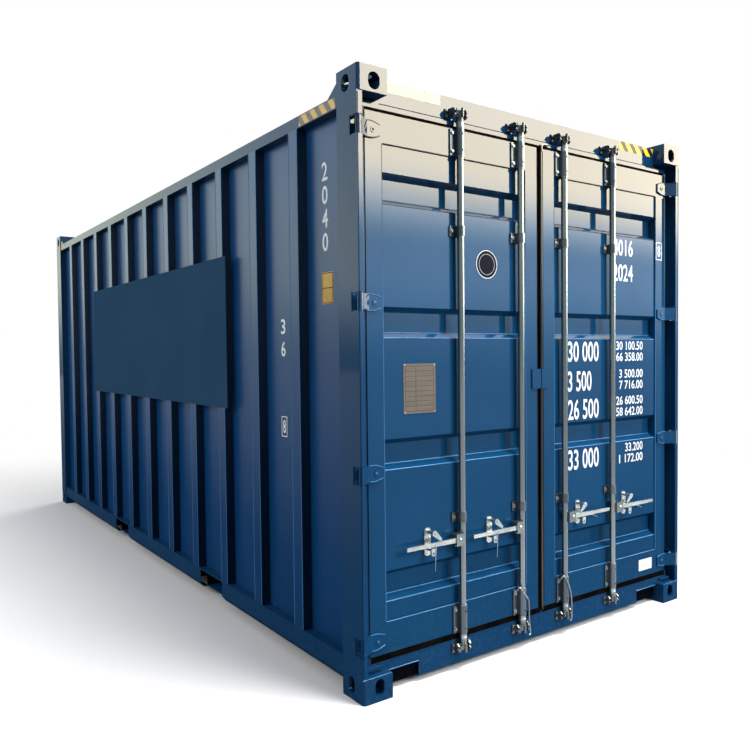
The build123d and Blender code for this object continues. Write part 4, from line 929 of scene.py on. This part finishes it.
FLOOR_WHITE = Finish("studio_floor", Roughness=0.9, Specular_IOR_Level=0.1)
floor_x, floor_y, _ = FLOOR_WHITE.axes()
away = (floor_x * floor_x + floor_y * floor_y).math("SQRT").over(5.6, 4.6)
rays = FLOOR_WHITE.node("ShaderNodeLightPath", out="Is Camera Ray")
gloss_rays = FLOOR_WHITE.node("ShaderNodeLightPath", out="Is Glossy Ray")
clear_rays = FLOOR_WHITE.node("ShaderNodeLightPath", out="Is Transmission Ray")
seen = (rays + gloss_rays + clear_rays).math("MINIMUM", 1.0)
pale = FLOOR_WHITE.blend(FLOOR_WHITE.noise(0.8), rgb(240, 240, 240), rgb(245, 245, 245))
FLOOR_WHITE.feed("Base Color", FLOOR_WHITE.blend(seen, rgb(140, 140, 140), pale))
glow = FLOOR_WHITE.node("ShaderNodeEmission", None, {"Color": (1, 1, 1, 1), "Strength": 1.0})
matt = Value(FLOOR_WHITE, FLOOR_WHITE.shader.outputs[0])
mixed = FLOOR_WHITE.node("ShaderNodeMixShader", None, {0: away * seen, 1: matt, 2: glow})
FLOOR_WHITE.tree.links.new(mixed.socket, FLOOR_WHITE.tree.nodes["Material Output"].inputs["Surface"])
studio_floor = new_object("studio_floor", ring_floor(60.0, 24, 64), FLOOR_WHITE)


class Sky(Finish):
    """The world's node tree, built with the same calls as a finish."""

    def __init__(self, world):
        world.use_nodes = True
        self.tree = world.node_tree
        self.shader = self.tree.nodes["Background"]


world = bpy.data.worlds.new("studio")
bpy.context.scene.world = world
sky = Sky(world)
direction = sky.node("ShaderNodeTexCoord", out="Generated")
sky_x, sky_y, sky_z = (sky.node("ShaderNodeSeparateXYZ", None, {0: direction}, out=i) for i in range(3))
azimuth = sky_y.math("ARCTAN2", sky_x)
rise = sky_z / sky_x.math("MAXIMUM", 0.04)
doors_way = azimuth.over(0.50, 0.14) * (1 - azimuth.over(1.62, 0.2))
canopy = rise.over(0.255, 0.15)
haze = rise.over(0.06, 0.22) * 0.75 + 0.25
side_way = (sky_x * -0.92 + sky_y * -0.39).over(0.86, 0.2)
low_sky = sky_z.over(0.04, 0.12) * 0.35 + 0.45 + side_way * sky_z.over(0.05, 0.12) * 1.5
near_end = 1 - azimuth.over(0.78, 0.5)
canopy_light = canopy * (near_end * 7.5 + 16.6)
bright = low_sky + doors_way * (haze * 4.0 + canopy_light) + sky_z.over(0.72, 0.2) * 5.0
glossy = sky.node("ShaderNodeLightPath", out="Is Glossy Ray")
camera_ray = sky.node("ShaderNodeLightPath", out="Is Camera Ray")
strength = glossy * bright + (1 - glossy) * (camera_ray * 1.0 + (1 - camera_ray) * 0.42)
sky.feed("Strength", strength)
sky_blue, sky_cream = rgb(208, 232, 250), rgb(255, 240, 206)
blueness = (sky_z.over(0.24, 0.2) + doors_way).math("MINIMUM", 1.0)
tint = sky.blend(blueness, rgb(244, 255, 236), sky_blue)
tint = sky.blend(doors_way * canopy, tint, sky_cream)
sky.feed("Color", sky.blend(glossy, (1, 1, 1, 1), tint))


# Lamps: four large softboxes on stands, one ahead of the doors, one above, one along the left side
# and one behind. They give soft light and shadow, and the gloss mirrors the sky alone.
def softbox(name, place, aim, width, height, watts):
    """An area lamp at a place, turned to aim at a point; gloss doesn't see it."""
    lamp = bpy.data.lights.new(name, "AREA")
    lamp.shape, lamp.size, lamp.size_y, lamp.energy = "RECTANGLE", width, height, watts
    holder = bpy.data.objects.new(name, lamp)
    holder.location = place
    holder.rotation_euler = (Vector(aim) - Vector(place)).to_track_quat("-Z", "Y").to_euler()
    holder.visible_glossy = False
    holder.visible_camera = False
    bpy.context.scene.collection.objects.link(holder)


softbox("front_softbox", (10.0, 3.0, 5.0), (3.0, 0.0, 1.3), 4.0, 3.0, 610)
softbox("top_softbox", (5.2, 0.6, 8.5), (2.9, 0.0, 1.5), 3.0, 3.0, 760)
softbox("side_softbox", (-1.0, -9.5, 6.0), (0.0, -1.2, 1.3), 8.0, 4.0, 400)
softbox("back_softbox", (-8.0, 7.5, 6.0), (-0.5, 0.5, 1.3), 6.0, 4.0, 560)


# Camera: the photograph's own viewpoint, at head height near the left door corner, with a short lens
# that is shifted a little for the photograph's framing.
lens = bpy.data.cameras.new("camera")
lens.sensor_width, lens.lens = 36.0, 35.724
lens.shift_x, lens.shift_y = -0.03939, 0.00173
camera = bpy.data.objects.new("camera", lens)
camera.location = (5.82221, -3.04034, 1.60606)
camera.rotation_euler = [math.radians(a) for a in (88.1966, 0.52171, 53.48037)]
bpy.context.scene.collection.objects.link(camera)
bpy.context.scene.camera = camera
bpy.context.scene.view_settings.view_transform = "Standard"
